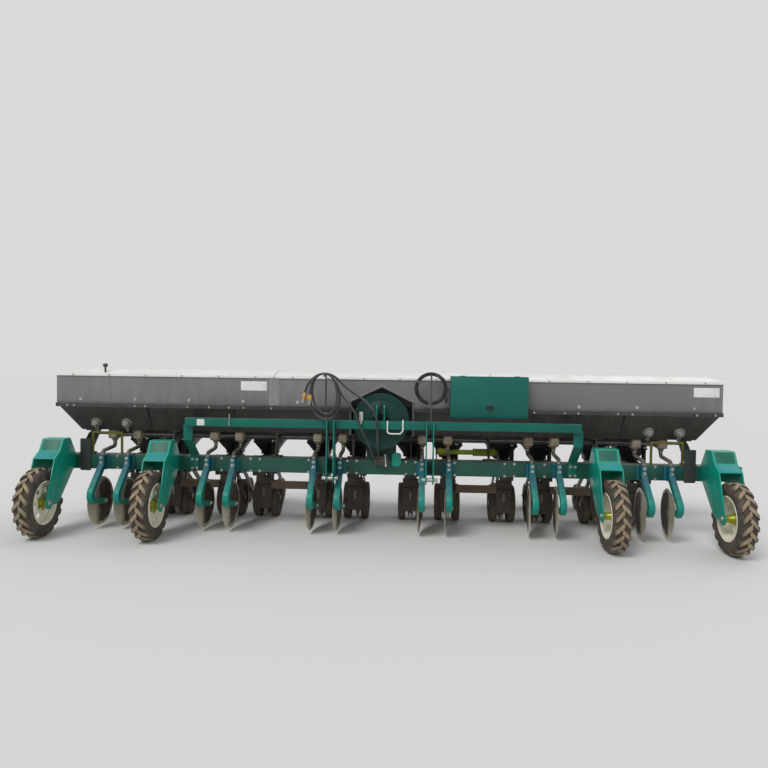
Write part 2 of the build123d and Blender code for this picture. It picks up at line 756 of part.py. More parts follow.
def fittings():
    """Small machined pieces: axle bolts, lower hitch pins, the valve block and the guarded cross shaft."""
    made = []
    grip = fork_gap / 2 + fork_plate
    for place in wheel_places:
        bolt = rod_x(place - grip, place + grip, axle_y, tyre_radius, axle_radius)
        for side in (-1, 1):
            x_low, x_high = sorted((place + side * (grip + seat_gap), place + side * (grip + axle_head_length)))
            bolt += rod_x(x_low, x_high, axle_y, tyre_radius, axle_head)
            x_low, x_high = sorted((place + side * grip, place + side * (grip + axle_head_length)))
            bolt += rod_x(x_low, x_high, axle_y, tyre_radius, axle_radius)
        made.append(bolt)
    for side in (-1, 1):
        pin_y = bar_y - hitch_pin_ahead
        face = side * (hitch_width / 2 + mast_gap / 2 + mast_plate + seat_gap)
        collar_end = face + side * hitch_pin_collar_length
        x_low, x_high = sorted((side * (hitch_width / 2 - hitch_pin_inner), collar_end + side * hitch_pin_free))
        pin = rod_x(x_low, x_high, pin_y, hitch_pin_z, hitch_pin_radius)
        made.append(pin + rod_x(min(face, collar_end), max(face, collar_end), pin_y, hitch_pin_z, hitch_pin_collar))
    valve_rear = bar_front - seat_gap
    valve = block(valve_x - valve_width / 2, valve_x + valve_width / 2, valve_rear - valve_depth, valve_rear,
                  valve_z - valve_height / 2, valve_z + valve_height / 2)
    for route in (pressure_hose_route, return_hose_route):
        x, ahead, z = route[0]
        valve += rod_y(x, bar_y - ahead + seat_gap, valve_rear - valve_depth / 2, z, valve_port)
    made.append(valve)
    y = bar_y + guard_behind
    shaft = rod_x(guard_left, guard_right, y, guard_z, guard_neck)
    shaft += rod_x(guard_right - 2 * guard_cone, guard_right - guard_neck, y, guard_z, guard_radius)
    shaft += rod_x(guard_left + guard_neck, guard_left + guard_cone, y, guard_z, guard_radius)
    bearing = ((bar_y, bar_top + seat_gap), (bar_rear, bar_top + seat_gap), (y + guard_neck, guard_z - guard_neck),
               (y + guard_neck, guard_z + guard_neck), (y - guard_neck, guard_z + guard_neck))
    for end in (guard_left, guard_right - support_plate):
        shaft += side_profile(bearing, end, end + support_plate)
    made.append(shaft)
    return made


def row_links():
    """The row brackets behind the toolbar, each with its upper and lower link to the row."""
    made = []
    front = bar_rear + seat_gap
    for place in row_places:
        piece = block(place - bracket_width / 2, place + bracket_width / 2, front, front + bracket_plate,
                      link_low - link_eye * 1.5, bar_top)
        for z in (link_high, link_low):
            start = (bar_y + link_front, z)
            end = (bar_y + link_rear, z - link_drop)
            half = link_width / 2
            upper_side = beside([start, end], link_sheet / 2)
            lower_side = beside([start, end], -link_sheet / 2)
            piece += side_profile(upper_side + lower_side[::-1], place - half, place + half)
            piece += rod_x(place - half, place + half, end[0], end[1], link_eye)
            piece += block(place - half, place + half, front + bracket_plate / 2, bar_y + link_front + link_eye,
                           z - link_eye, z + link_eye)
            piece -= rod_x(place - link_width, place + link_width, end[0], end[1], link_pin + seat_gap)
        made.append(piece)
    return made


def clod_shield(place):
    """The plate ahead of a row's discs that pushes clods off the ridge, with its rib and its shelf to the frame."""
    half = shield_width / 2
    rear = bar_y + seed_disc_behind - seed_disc_radius - shield_clear
    front = rear - shield_plate
    outline = ((place - half, head_low), (place - half, shield_low + half), (place - half + shield_taper, shield_low),
               (place + half - shield_taper, shield_low), (place + half, shield_low + half), (place + half, head_low))
    shield = front_profile(outline, front, rear)
    shield += block(place - half, place + half, front, bar_y + head_front + side_plate, head_low,
                    head_low + shield_plate)
    middle = (head_low + shield_low) / 2
    shield += block(place - shield_rib / 2, place + shield_rib / 2, front - shield_plate, front,
                    middle - shield_rib, middle + shield_rib)
    return shield


def row_frames():
    """The row units' frames: two side plates back to the press wheel, with arms, shank and pins."""
    made = []
    press_y = bar_y + press_behind
    head = (bar_y + head_front, bar_y + head_rear)
    arm_high = (head[1], head_low + press_arm_eye * 3)
    outline = ((head[0], head_low), (head[0], head_top), (head[1], head_top), arm_high,
               (press_y + press_arm_eye / 2, press_radius + press_arm_eye),
               (press_y - press_arm_eye, press_radius - press_arm_eye / 2), (head[1] - press_arm_eye, head_low))
    gauge_y = bar_y + gauge_behind
    gauge_points = [(bar_y + (seed_shank_rear + gauge_behind) / 2, head_low + press_arm_eye), (gauge_y, gauge_radius)]
    for place in row_places:
        frame = block(place - side_gap / 2, place + side_gap / 2, head[0] + link_width, head[1],
                      head_top - side_plate, head_top)
        frame += block(place - side_gap / 2, place + side_gap / 2, bar_y + seed_shank_rear,
                       bar_y + seed_shank_rear + side_plate, head_low, head_top)
        for side in (-1, 1):
            inner = place + side * side_gap / 2
            x_low, x_high = sorted((inner, inner + side * side_plate))
            frame += side_profile(outline, x_low, x_high)
            frame += rod_x(x_low, x_high, press_y, press_radius, press_arm_eye)
            arm_inner = place + side * gauge_arm_inset
            x_low, x_high = sorted((arm_inner, arm_inner + side * gauge_arm))
            arm = beside(gauge_points, stub_radius * 2) + beside(gauge_points, -stub_radius * 2)[::-1]
            frame += side_profile(arm, x_low, x_high) + rod_x(x_low, x_high, gauge_y, gauge_radius, stub_radius * 2)
            stub_end = place + side * (gauge_gap / 2 + gauge_width)
            x_low, x_high = sorted((arm_inner, stub_end))
            frame += rod_x(x_low, x_high, gauge_y, gauge_radius, stub_radius)
        frame += rod_x(place - side_gap / 2, place + side_gap / 2, press_y, press_radius, press_pin)
        for z in (link_high - link_drop, link_low - link_drop):
            frame += rod_x(place - side_gap / 2, place + side_gap / 2, bar_y + link_rear, z, link_pin)
        frame += block(place - seed_shank / 2, place + seed_shank / 2, bar_y + seed_shank_front,
                       bar_y + seed_shank_rear + side_plate, seed_shank_low, head_top)
        frame += clod_shield(place)
        boss = seed_disc_offset - seed_disc_sheet - seed_disc_hub * sin(radians(seed_disc_angle)) - seat_gap
        frame += rod_x(place - boss, place + boss, bar_y + seed_disc_behind, seed_disc_z, seed_disc_hub)
        made.append(frame)
    return made


def seed_hoppers():
    """A moulded seed box on each row, tapered below its waist, with a lid clipped on."""
    made = []
    front, rear = bar_y + seed_box_front, bar_y + seed_box_rear
    middle = (front + rear) / 2
    neck = seed_box_width * seed_box_neck_share
    low = head_top + seat_gap
    for place in row_places:
        box = block(place - seed_box_width / 2, place + seed_box_width / 2, front, rear, seed_box_waist, seed_box_top)
        low_face = Pos(place, middle, low) * Rectangle(neck, (rear - front) * seed_box_neck_share)
        high_face = Pos(place, middle, seed_box_waist) * Rectangle(seed_box_width, rear - front)
        box += loft([low_face.faces()[0], high_face.faces()[0]], ruled=True)
        half = seed_box_width / 2 + seed_lid_over
        box += block(place - half, place + half, front - seed_lid_over, rear + seed_lid_over,
                     seed_box_top, seed_box_top + seed_lid)
        made.append(box)
    return made


def seed_meters():
    """A round vacuum seed meter on the right side plate of each row."""
    made = []
    for place in row_places:
        start = place + side_gap / 2 + side_plate + seat_gap
        made.append(rod_x(start, start + seed_meter_width, bar_y + seed_meter_behind, seed_meter_z, seed_meter_radius))
    return made


def vacuum_line():
    """The vacuum pipe behind the toolbar, with a hose down to each seed meter."""
    y = bar_y + vacuum_pipe_behind
    pipe = rod_x(-vacuum_pipe_half, vacuum_pipe_half, y, vacuum_pipe_z, vacuum_pipe)
    for place in row_places:
        x = place + side_gap / 2 + side_plate + seat_gap + seed_meter_width / 2
        end = bar_y + seed_meter_behind - seed_meter_radius - seat_gap
        route = ((x, y, vacuum_pipe_z), (x, y, seed_meter_z), (x, end, seed_meter_z))
        pipe += round_tube(route, [vacuum_hose_bend], vacuum_hose)
    return pipe


def tool_box():
    """The green box on the hopper's front: a hollow body and its door."""
    front = bar_y - box_ahead
    rear = hopper_front - lid_over - box_clear
    body_front = front + door_plate + seat_gap
    body = block(box_left, box_right, body_front, rear, box_low, box_high)
    body -= block(box_left + box_wall, box_right - box_wall, body_front - cut_over, rear - box_wall,
                  box_low + box_wall, box_high - box_wall)
    for share in (0.0, 1.0):
        low = hopper_waist + box_rail / 2 + share * (hopper_rim - hopper_waist - 3 * box_rail)
        body += block(box_left, box_right, rear - box_wall, hopper_front - seat_gap, low, low + box_rail)
    body += rod_x(stand_table[1][0] + coil_mean + coil_thick / 2 + seat_gap, box_left + box_wall,
                  bar_y - coil_ahead, coil_z(), box_gland)
    door = block(box_left, box_right, front, front + door_plate, box_low, box_high)
    for share in (0.15, 0.85):
        middle = box_left + share * (box_right - box_left)
        door += rod_x(middle - hinge_length / 2, middle + hinge_length / 2, front + door_plate / 2,
                      box_high + door_gap / 2, door_plate / 2 + door_gap / 6)
    return body, door


def coil_z():
    """The height of the cable coil's middle: its inner edge hangs on the stand's rod."""
    return stand_high + stand_rod + seat_gap - coil_mean + coil_thick / 2


def ground_wheel_parts(tyre_shape, rim_shape):
    """The four ground wheels, each a tyre on its rim."""
    parts = {}
    for number, place in enumerate(wheel_places, 1):
        spot = Pos(place, axle_y, tyre_radius)
        parts[f"tyre_{number}"] = spot * tyre_shape
        parts[f"rim_{number}"] = spot * rim_shape
    return parts


def gauge_wheel():
    """One gauge wheel about the x axis: a flat tyre on a dished hub, bored for its stub."""
    half = gauge_width / 2
    bore = stub_radius + running_gap
    crown = gauge_radius * 0.95
    web = gauge_radius * 0.62
    return turned(((-half, bore), (half, bore), (half, gauge_hub), (half / 3, gauge_hub + half / 2), (half / 3, web),
                   (half, web + half / 3), (half, crown), (half / 2, gauge_radius), (-half / 2, gauge_radius),
                   (-half, crown)))


def press_wheel():
    """One press wheel about the x axis: a rounded rubber tyre on a narrow hub."""
    half = press_width / 2
    bore = press_pin + running_gap
    crown = press_radius * 0.9
    web = press_radius * 0.6
    return turned(((-half, bore), (half, bore), (half, press_hub), (half / 4, press_hub), (half / 4, web),
                   (half, web), (half, crown), (half / 3, press_radius), (-half / 3, press_radius), (-half, crown),
                   (-half, web), (-half / 4, web), (-half / 4, press_hub), (-half, press_hub)))


def row_wheel_parts():
    """Each row's pair of gauge wheels and its press wheel."""
    parts = {}
    gauge = gauge_wheel()
    press = press_wheel()
    for number, place in enumerate(row_places, 1):
        pair = []
        for side in (-1, 1):
            middle = place + side * (gauge_gap + gauge_width) / 2
            turn = Rot(0, 0, 0 if side > 0 else 180)
            pair.append(Pos(middle, bar_y + gauge_behind, gauge_radius) * turn * gauge)
        parts[f"gauge_wheels_{number:02d}"] = pair
        parts[f"press_wheel_{number:02d}"] = Pos(place, bar_y + press_behind, press_radius) * press
    return parts


def cord_bends(points):
    """A bend radius for each corner of a hose's route, as wide as its two runs allow."""
    bends = []
    for before, here, after in zip(points, points[1:], points[2:]):
        turn = radians((Vector(here) - Vector(before)).get_angle(Vector(after) - Vector(here)))
        shorter = min((Vector(here) - Vector(before)).length, (Vector(after) - Vector(here)).length)
        bends.append(0.45 * shorter / tan(turn / 2))
    return bends


def cord_parts():
    """The two loose hydraulic hoses, the coiled cable, and the couplers and plug on their ends."""
    parts = {}
    ends = []
    for name, route in (("pressure_hose", pressure_hose_route), ("return_hose", return_hose_route)):
        points = [(x, bar_y - ahead, z) for x, ahead, z in route]
        bends = cord_bends(points)
        print(name, "bends", [round(bend) for bend in bends])
        parts[name] = round_tube(points, bends, hose_radius)
        last, before = Vector(points[-1]), Vector(points[-2])
        aim = Plane(origin=last, z_dir=last - before)
        collar = aim * Pos(0, 0, seat_gap + cap_length / 2) * Cylinder(cap_radius, cap_length)
        nipple = aim * Pos(0, 0, cap_length + coupler_length / 2) * Cylinder(coupler_radius, coupler_length)
        ends.append(collar + nipple)
    y = bar_y - coil_ahead
    z = coil_z()
    half = coil_thick / 2
    ring = turned(((-coil_deep / 2, coil_mean - half), (coil_deep / 2, coil_mean - half),
                   (coil_deep / 2, coil_mean + half), (-coil_deep / 2, coil_mean + half)))
    parts["cable_coil"] = Pos(stand_table[1][0], y, z) * Rot(0, 0, 90) * ring
    plug_x = stand_table[1][0] + coil_mean
    plug_top = z - coil_mean / 2
    ends.append(rod_z(plug_x, y - coil_deep / 2 - plug_radius - seat_gap, plug_top - plug_length, plug_top,
                      plug_radius))
    parts["cord_ends"] = ends
    return parts


box_body, box_door = tool_box()
nodes = {
    "toolbar": toolbar(), "wheel_forks": wheel_forks(), "hopper_supports": hopper_supports(),
    "fertiliser_meters": fertiliser_meters(), "fertiliser_hoses": fertiliser_hoses(),
    "opener_arms": opener_arms(), "discs": discs(), "upper_frame": upper_frame(), "hitch_masts": hitch_masts(),
    "fan_housing": fan_housing(), "fittings": fittings(), "row_links": row_links(), "row_frames": row_frames(),
    "seed_hoppers": seed_hoppers(), "seed_meters": seed_meters(), "vacuum_line": vacuum_line(),
    "tool_box": box_body, "tool_box_door": box_door}
nodes.update(hoppers())
nodes.update(hopper_lids())
nodes.update(ground_wheel_parts(tyre(), rim()))
nodes.update(row_wheel_parts())
nodes.update(cord_parts())

os.makedirs("parts", exist_ok=True)
for node, shape in nodes.items():
    export_step(Compound(children=list(shape)) if isinstance(shape, list) else shape, f"parts/{node}.step")
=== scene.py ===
import math

import bmesh
import bpy
from mathutils import Matrix, Vector


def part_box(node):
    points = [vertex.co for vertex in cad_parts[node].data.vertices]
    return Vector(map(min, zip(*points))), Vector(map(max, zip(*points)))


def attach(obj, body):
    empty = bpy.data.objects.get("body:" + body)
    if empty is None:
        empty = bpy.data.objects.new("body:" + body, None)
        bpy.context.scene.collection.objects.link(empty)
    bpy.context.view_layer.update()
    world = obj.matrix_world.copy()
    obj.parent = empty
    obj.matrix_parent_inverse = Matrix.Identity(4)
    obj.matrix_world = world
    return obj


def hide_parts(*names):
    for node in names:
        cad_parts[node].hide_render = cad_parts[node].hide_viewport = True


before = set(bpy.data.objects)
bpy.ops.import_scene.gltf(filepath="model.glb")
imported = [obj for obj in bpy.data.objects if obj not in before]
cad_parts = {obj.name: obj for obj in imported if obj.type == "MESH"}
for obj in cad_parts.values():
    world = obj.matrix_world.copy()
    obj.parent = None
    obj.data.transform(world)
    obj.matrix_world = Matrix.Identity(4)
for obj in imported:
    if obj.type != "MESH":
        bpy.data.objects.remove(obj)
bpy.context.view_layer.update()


# Toolbar, the main beam that carries everything: a square steel tube 150 mm across and 7.2 m long, capped at
# both ends. It is sprayed dark green, with field dust on its upper face.
band_fade = 0.004
dust = "#8F8574"
soil = "#5E5142"
corner_weld = 0.00005
soft_corner = math.radians(38)
edge_round = 0.0025
bar_low, bar_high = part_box("toolbar")
bar_front = bar_low.y
bar_rear = bar_high.y
bar_y = (bar_front + bar_rear) / 2
bar_bottom = bar_low.z
bar_top = bar_high.z
rolled_edge = 0.004


def linear(colour):
    """A colour as #RRGGBB in sRGB, turned to linear."""
    channels = [int(colour[place:place + 2], 16) / 255 for place in (1, 3, 5)]
    return [c / 12.92 if c <= 0.04045 else ((c + 0.055) / 1.055) ** 2.4 for c in channels] + [1.0]


def add(tree, kind, inputs=None, **settings):
    """A node with its settings, and its inputs given as values or as the sockets that feed them."""
    node = tree.nodes.new(kind)
    for name, value in settings.items():
        setattr(node, name, value)
    for key, value in (inputs or {}).items():
        if isinstance(value, bpy.types.NodeSocket):
            tree.links.new(value, node.inputs[key])
        else:
            node.inputs[key].default_value = value
    return node


def maths(tree, operation, one, two=0.5):
    """A sum of two values, of a kind that Blender names."""
    return add(tree, "ShaderNodeMath", {0: one, 1: two}, operation=operation).outputs[0]


def ramp(tree, value, low, high, first=0.0, last=1.0):
    """How far a value lies between low and high, as a value between first and last."""
    return add(tree, "ShaderNodeMapRange", {0: value, 1: low, 2: high, 3: first, 4: last}).outputs[0]


def mixed(tree, share, one, two):
    """Two colours mixed, each as #RRGGBB or as a socket."""
    one, two = (linear(colour) if isinstance(colour, str) else colour for colour in (one, two))
    return add(tree, "ShaderNodeMix", {0: share, 6: one, 7: two}, data_type="RGBA").outputs[2]


def noise(tree, place, scale, detail, roughness=0.5):
    """Cloudy noise over the piece."""
    return add(tree, "ShaderNodeTexNoise", {"Vector": place, "Scale": scale, "Detail": detail,
                                            "Roughness": roughness}).outputs[0]


def bumped(tree, height, strength, distance):
    """Fine relief from a height."""
    return add(tree, "ShaderNodeBump", {"Height": height, "Strength": strength,
                                        "Distance": distance}).outputs[0]


def axis_values(tree, vector):
    """The x, y and z of a vector."""
    return add(tree, "ShaderNodeSeparateXYZ", {0: vector}).outputs[:3]


def new_material(name):
    """An empty material, with its tree and the socket that gives places on the piece."""
    material = bpy.data.materials.new(name)
    material.use_nodes = True
    material.node_tree.nodes.clear()
    return material, material.node_tree, add(material.node_tree, "ShaderNodeTexCoord").outputs["Object"]


def end_surface(tree, inputs):
    """Ends a material's tree with its surface."""
    shader = add(tree, "ShaderNodeBsdfPrincipled", inputs)
    add(tree, "ShaderNodeOutputMaterial", {0: shader.outputs[0]})


def weathered(name, colour, shade, settled=0.5, splash=0.3, splash_top=0.9, roughness=0.45, metallic=0.0,
              patch=0.35, grain=0.003, relief=0.0004, coat=0.0, bands=()):
    """A finish that has stood in the field: patches of fading a patch across, settled dust above, splashes
    below. Bands are heights with colours: above such a height the paint has that colour."""
    material, tree, place = new_material(name)
    height = axis_values(tree, place)[2]
    upward = axis_values(tree, add(tree, "ShaderNodeNewGeometry").outputs["Normal"])[2]
    base = mixed(tree, ramp(tree, noise(tree, place, 1 / patch, 5.0, 0.6), 0.35, 0.68), colour, shade)
    for start, tone in bands:
        base = mixed(tree, ramp(tree, height, start - band_fade, start + band_fade), base, tone)
    drift = ramp(tree, noise(tree, place, 3 / patch, 8.0, 0.7), 0.38, 0.62)
    above = maths(tree, "MULTIPLY", ramp(tree, upward, 0.25, 1.0, 0.0, settled), drift)
    speckle = ramp(tree, noise(tree, place, 14 / patch, 6.0, 0.8), 0.4, 0.62)
    below = maths(tree, "MULTIPLY", ramp(tree, height, splash_top, 0.0, 0.0, splash), speckle)
    cover = maths(tree, "MAXIMUM", above, below)
    inputs = {"Base Color": mixed(tree, below, mixed(tree, above, base, dust), soil),
              "Roughness": ramp(tree, cover, 0.0, 1.0, roughness, 0.9),
              "Normal": bumped(tree, noise(tree, place, 1 / grain, 2.0), 0.35, relief),
              "Coat Weight": coat, "Coat Roughness": 0.25, "Specular IOR Level": 0.3}
    if metallic:
        inputs["Metallic"] = ramp(tree, cover, 0.0, 1.0, metallic, 0.0)
    end_surface(tree, inputs)
    return material


def new_tree(name, *inputs):
    """A tree of geometry nodes with its named inputs. Gives the tree and the inputs' sockets by name."""
    tree = bpy.data.node_groups.new(name, "GeometryNodeTree")
    for side in ("OUTPUT", "INPUT"):
        tree.interface.new_socket("Geometry", in_out=side, socket_type="NodeSocketGeometry")
    for label, kind, value in inputs:
        tree.interface.new_socket(label, in_out="INPUT", socket_type=kind).default_value = value
    return tree, {socket.name: socket for socket in tree.nodes.new("NodeGroupInput").outputs if socket.name}


def end_tree(tree, shape):
    """Ends a tree with its shape, and gives the tree."""
    add(tree, "NodeGroupOutput", {0: shape.outputs[0]})
    return tree


def cleaned_tree():
    """Joins a CAD node's loose triangles along their edges, and drops their flat normals."""
    tree, given = new_tree("joined_corners", ("Distance", "NodeSocketFloat", corner_weld))
    bare = add(tree, "GeometryNodeRemoveAttribute", {0: given["Geometry"], "Name": "custom_normal"})
    return end_tree(tree, add(tree, "GeometryNodeMergeByDistance", {0: bare.outputs[0],
                                                                    "Distance": given["Distance"]}))


def shaded_tree():
    """Shades round faces smoothly and leaves corners sharper than an angle crisp."""
    tree, given = new_tree("shaded_corners", ("Corner", "NodeSocketFloat", soft_corner))
    smooth = add(tree, "GeometryNodeSetShadeSmooth", {0: given["Geometry"]}, domain="FACE")
    angle = add(tree, "GeometryNodeInputMeshEdgeAngle").outputs[0]
    sharp = add(tree, "FunctionNodeCompare", {0: angle, 1: given["Corner"]},
                operation="GREATER_THAN").outputs[0]
    return end_tree(tree, add(tree, "GeometryNodeSetShadeSmooth", {0: smooth.outputs[0], 1: sharp, 2: False},
                              domain="EDGE"))


corner_joining = cleaned_tree()
corner_shading = shaded_tree()


def dress(node, material, edge=edge_round):
    """The finish of a CAD node that is shown: its material, slightly round edges and smooth shading."""
    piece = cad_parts[node]
    piece.data.materials.clear()
    piece.data.materials.append(material)
    piece.modifiers.new("joined", "NODES").node_group = corner_joining
    if edge:
        rounding = piece.modifiers.new("edges", "BEVEL")
        rounding.width = edge
        rounding.segments = 2
        rounding.angle_limit = soft_corner
    piece.modifiers.new("shaded", "NODES").node_group = corner_shading


bar_green = weathered("sprayed_dark_green_enamel", "#1F5A4C", "#1B4D45", settled=0.75, splash=0.35,
                      roughness=0.42, coat=0.1)
dress("toolbar", bar_green, rolled_edge)


# Forks of the ground wheels: 10 mm plates welded to a bent cover, clamped against the toolbar's front. Bright
# green enamel over steel, dusty on the cover and splashed round the axle.
fork_green = weathered("sprayed_bright_green_enamel", "#00A088", "#04927E", settled=0.25, splash=0.25,
                       splash_top=0.6, roughness=0.36, coat=0.2)
dress("wheel_forks", fork_green)


# Ground tyres: four lugged farm tyres of the tractor pattern, on the beads of their rims. Black rubber gone
# brown, with tan earth dried on the tops of the lugs and darker gaps between them.
merge_within = 0.00002
round_steps = 96
tyre_radius = 0.335
wheel_places = (-3.3, -2.2, 2.2, 3.3)
axle_y = sum(corner.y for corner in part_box("tyre_1")) / 2
lug_count = 18
# Half of the carcass, from bead to crown. Columns: from the middle, radius
carcass_side = ((0.064, 0.196), (0.067, 0.206), (0.071, 0.224), (0.0775, 0.246), (0.0795, 0.266),
                (0.078, 0.284), (0.071, 0.298), (0.054, 0.307), (0.028, 0.3115), (0.0, 0.3125))
# One lug, from crown to shoulder. Columns: base across, its radius, top across, its radius, turn
lug_stations = ((-0.009, 0.306, -0.008, 0.3343, 0.0), (0.015, 0.306, 0.016, 0.3343, 0.065),
                (0.040, 0.304, 0.041, 0.3328, 0.150), (0.062, 0.298, 0.065, 0.3262, 0.225),
                (0.072, 0.290, 0.0785, 0.3115, 0.262), (0.0735, 0.276, 0.0812, 0.2850, 0.280))
lug_foot = 0.058
lug_neck = 0.0483
lug_crest = 0.0378
lug_shoulder_share = 0.88
wear_start = 0.318
wear_end = 0.3325


def from_axle(tree, place, centre_y, centre_z):
    """How far a place lies behind an axle, and how far from it."""
    _, y, z = axis_values(tree, place)
    back = maths(tree, "SUBTRACT", y, centre_y)
    flat = add(tree, "ShaderNodeCombineXYZ", {1: back, 2: maths(tree, "SUBTRACT", z, centre_z)}).outputs[0]
    return back, add(tree, "ShaderNodeVectorMath", {0: flat}, operation="LENGTH").outputs["Value"]


def end_real(tree, shape, material):
    """Ends a tree with its shape made real, in a material."""
    real = add(tree, "GeometryNodeRealizeInstances", {0: shape.outputs[0]})
    return end_tree(tree, add(tree, "GeometryNodeSetMaterial", {0: real.outputs[0], "Material": material}))


def round_tree():
    """Repeats a shape evenly round the x axis."""
    tree, given = new_tree("repeated_round", ("Count", "NodeSocketInt", 6),
                           ("Material", "NodeSocketMaterial", None))
    points = add(tree, "GeometryNodePoints", {"Count": given["Count"]})
    share = maths(tree, "DIVIDE", add(tree, "GeometryNodeInputIndex").outputs[0], given["Count"])
    turn = add(tree, "ShaderNodeCombineXYZ", {0: maths(tree, "MULTIPLY", share, 2 * math.pi)}).outputs[0]
    copies = add(tree, "GeometryNodeInstanceOnPoints", {"Points": points.outputs[0],
                                                        "Instance": given["Geometry"], "Rotation": turn})
    return end_real(tree, copies, given["Material"])


repeated_round = round_tree()


def added(name, data):
    """A new object in the scene."""
    piece = bpy.data.objects.new(name, data)
    bpy.context.scene.collection.objects.link(piece)
    return piece


def finished(name, mesh, material, body="root", replaces=()):
    """A finished piece at the origin with its place in its mesh, riding on its body."""
    mesh.name = name
    mesh.materials.clear()
    mesh.materials.append(material)
    piece = added(name, mesh)
    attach(piece, body)
    if replaces:
        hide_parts(*replaces)
    return piece


def at(x, y, z):
    """A move to a place."""
    return Matrix.Translation((x, y, z))


def evaluated(holder):
    """The plain mesh of an object with its modifiers done. The object goes."""
    mesh = bpy.data.meshes.new_from_object(holder.evaluated_get(bpy.context.evaluated_depsgraph_get()))
    bpy.data.objects.remove(holder)
    return mesh


def run_tree(tree, mesh, **values):
    """Runs a tree of geometry nodes over a mesh, with values for its named inputs, and gives a plain mesh."""
    holder = added("holder", mesh)
    modifier = holder.modifiers.new("tree", "NODES")
    modifier.node_group = tree
    for item in tree.interface.items_tree:
        if item.in_out == "INPUT" and item.name in values:
            modifier[item.identifier] = values[item.name]
    holder.update_tag()
    return evaluated(holder)


def all_round(mesh, count, material):
    """A mesh repeated evenly round the x axis, in its material."""
    return run_tree(repeated_round, mesh, Count=count, Material=material)


def moved(mesh, *steps):
    """A copy of a mesh after some moves, the last one first."""
    copy = mesh.copy()
    for step in reversed(steps):
        copy.transform(step)
    return copy


def joined(*meshes):
    """Several meshes made one, each with its own sharp edges."""
    shape = bmesh.new()
    for mesh in meshes:
        shape.from_mesh(mesh)
    mesh = bpy.data.meshes.new("joined")
    shape.to_mesh(mesh)
    shape.free()
    return mesh


def closed_mesh(shape):
    """A plain mesh from a bmesh: doubles merged, faces outwards, round faces smooth and corners crisp."""
    bmesh.ops.remove_doubles(shape, verts=shape.verts, dist=merge_within)
    bmesh.ops.recalc_face_normals(shape, faces=shape.faces)
    mesh = bpy.data.meshes.new("shape")
    shape.to_mesh(mesh)
    shape.free()
    mesh.shade_smooth()
    mesh.set_sharp_from_angle(angle=soft_corner)
    return mesh


def ring_of(shape, points):
    """Vertices of a shape at some points."""
    return [shape.verts.new(point) for point in points]


def bridge(shape, rings, capped=False):
    """Faces from each ring of vertices to the next, and over the first and the last where they are capped."""
    for one, two in zip(rings, rings[1:]):
        for here in range(len(one)):
            after = (here + 1) % len(one)
            corners = list(dict.fromkeys((one[here], one[after], two[after], two[here])))
            if len(corners) > 2:
                shape.faces.new(corners)
    if capped:
        shape.faces.new(rings[0])
        shape.faces.new(rings[-1])


def mirrored(side):
    """A whole outline from its half with x over 0, which ends in the middle."""
    return side + tuple((-x, radius) for x, radius in reversed(side[:-1]))


def turned(profile, steps=round_steps, closed=False):
    """A round mesh about the x axis, from its outline as (x, radius). Radius 0 ends it in a pole."""
    shape = bmesh.new()
    turns = [2 * math.pi * step / steps for step in range(steps)]
    rings = [ring_of(shape, [(x, radius * math.cos(turn), radius * math.sin(turn)) for turn in turns])
             if radius else ring_of(shape, [(x, 0, 0)]) * steps
             for x, radius in profile]
    bridge(shape, rings + rings[:1] if closed else rings)
    return closed_mesh(shape)


def lug(side, shift):
    """One bar of the tread, from the crown to the shoulder, on one side of the tyre."""
    shape = bmesh.new()
    sections = []
    for base_x, base_radius, top_x, top_radius, turn in lug_stations:
        neck_x = base_x + lug_shoulder_share * (top_x - base_x)
        neck_radius = base_radius + lug_shoulder_share * (top_radius - base_radius)
        right = [(base_x, base_radius, lug_foot), (neck_x, neck_radius, lug_neck),
                 (top_x, top_radius, lug_crest)]
        outline = [(x, radius, -wide) for x, radius, wide in right] + right[::-1]
        section = []
        for x, radius, wide in outline:
            angle = shift + turn + wide / 2 / tyre_radius
            section.append((side * x, radius * math.cos(angle), radius * math.sin(angle)))
        sections.append(ring_of(shape, section))
    bridge(shape, sections, capped=True)
    return closed_mesh(shape)


def tyre_rubber():
    """Moulded rubber in the field: black in the gaps, brown on the walls and tan where the lugs wear."""
    material, tree, place = new_material("moulded_tyre_rubber")
    _, radius = from_axle(tree, place, axle_y, tyre_radius)
    patches = ramp(tree, noise(tree, place, 9.0, 8.0, 0.65), 0.35, 0.65)
    wall = mixed(tree, patches, "#3B3530", "#5E5348")
    face = mixed(tree, patches, "#857560", "#A8967A")
    end_surface(tree, {"Base Color": mixed(tree, ramp(tree, radius, wear_start, wear_end), wall, face),
                       "Roughness": 0.82, "IOR": 1.52,
                       "Normal": bumped(tree, noise(tree, place, 260.0, 3.0), 0.5, 0.0012)})
    return material


rubber = tyre_rubber()
lugs = all_round(joined(lug(1, 0.0), lug(-1, math.pi / lug_count)), lug_count, rubber)
tyre_mesh = joined(turned(mirrored(carcass_side), closed=True), lugs)
for number, place in enumerate(wheel_places, 1):
    mesh = moved(tyre_mesh, at(place, axle_y, tyre_radius), Matrix.Rotation(number, 4, "X"))
    finished(f"ground_tyre_{number}", mesh, rubber, f"ground_wheel_{number}", (f"tyre_{number}",))


# Rims of the ground wheels: pressed steel with a round lip each side and a dish with six holes, welded to a
# turned hub. Cream enamel, chipped and dusty; the hub and its bolts are yellow passivated zinc.
both = (-1, 1)
wheel_head = (0.019, 0.012, 0.003)
rim_well = 0.181
rim_sheet = 0.0045
dish_at = 0.024
dish_sheet = 0.006
dish_cone = 0.010
dish_weld = 0.0008
hub_radius = 0.052
bore_radius = 0.0126
hole_radius = 0.026
hole_pitch = 0.130
hole_count = 6
hole_steps = 36
wheel_bolt_pitch = 0.072
wheel_bolt_count = 5
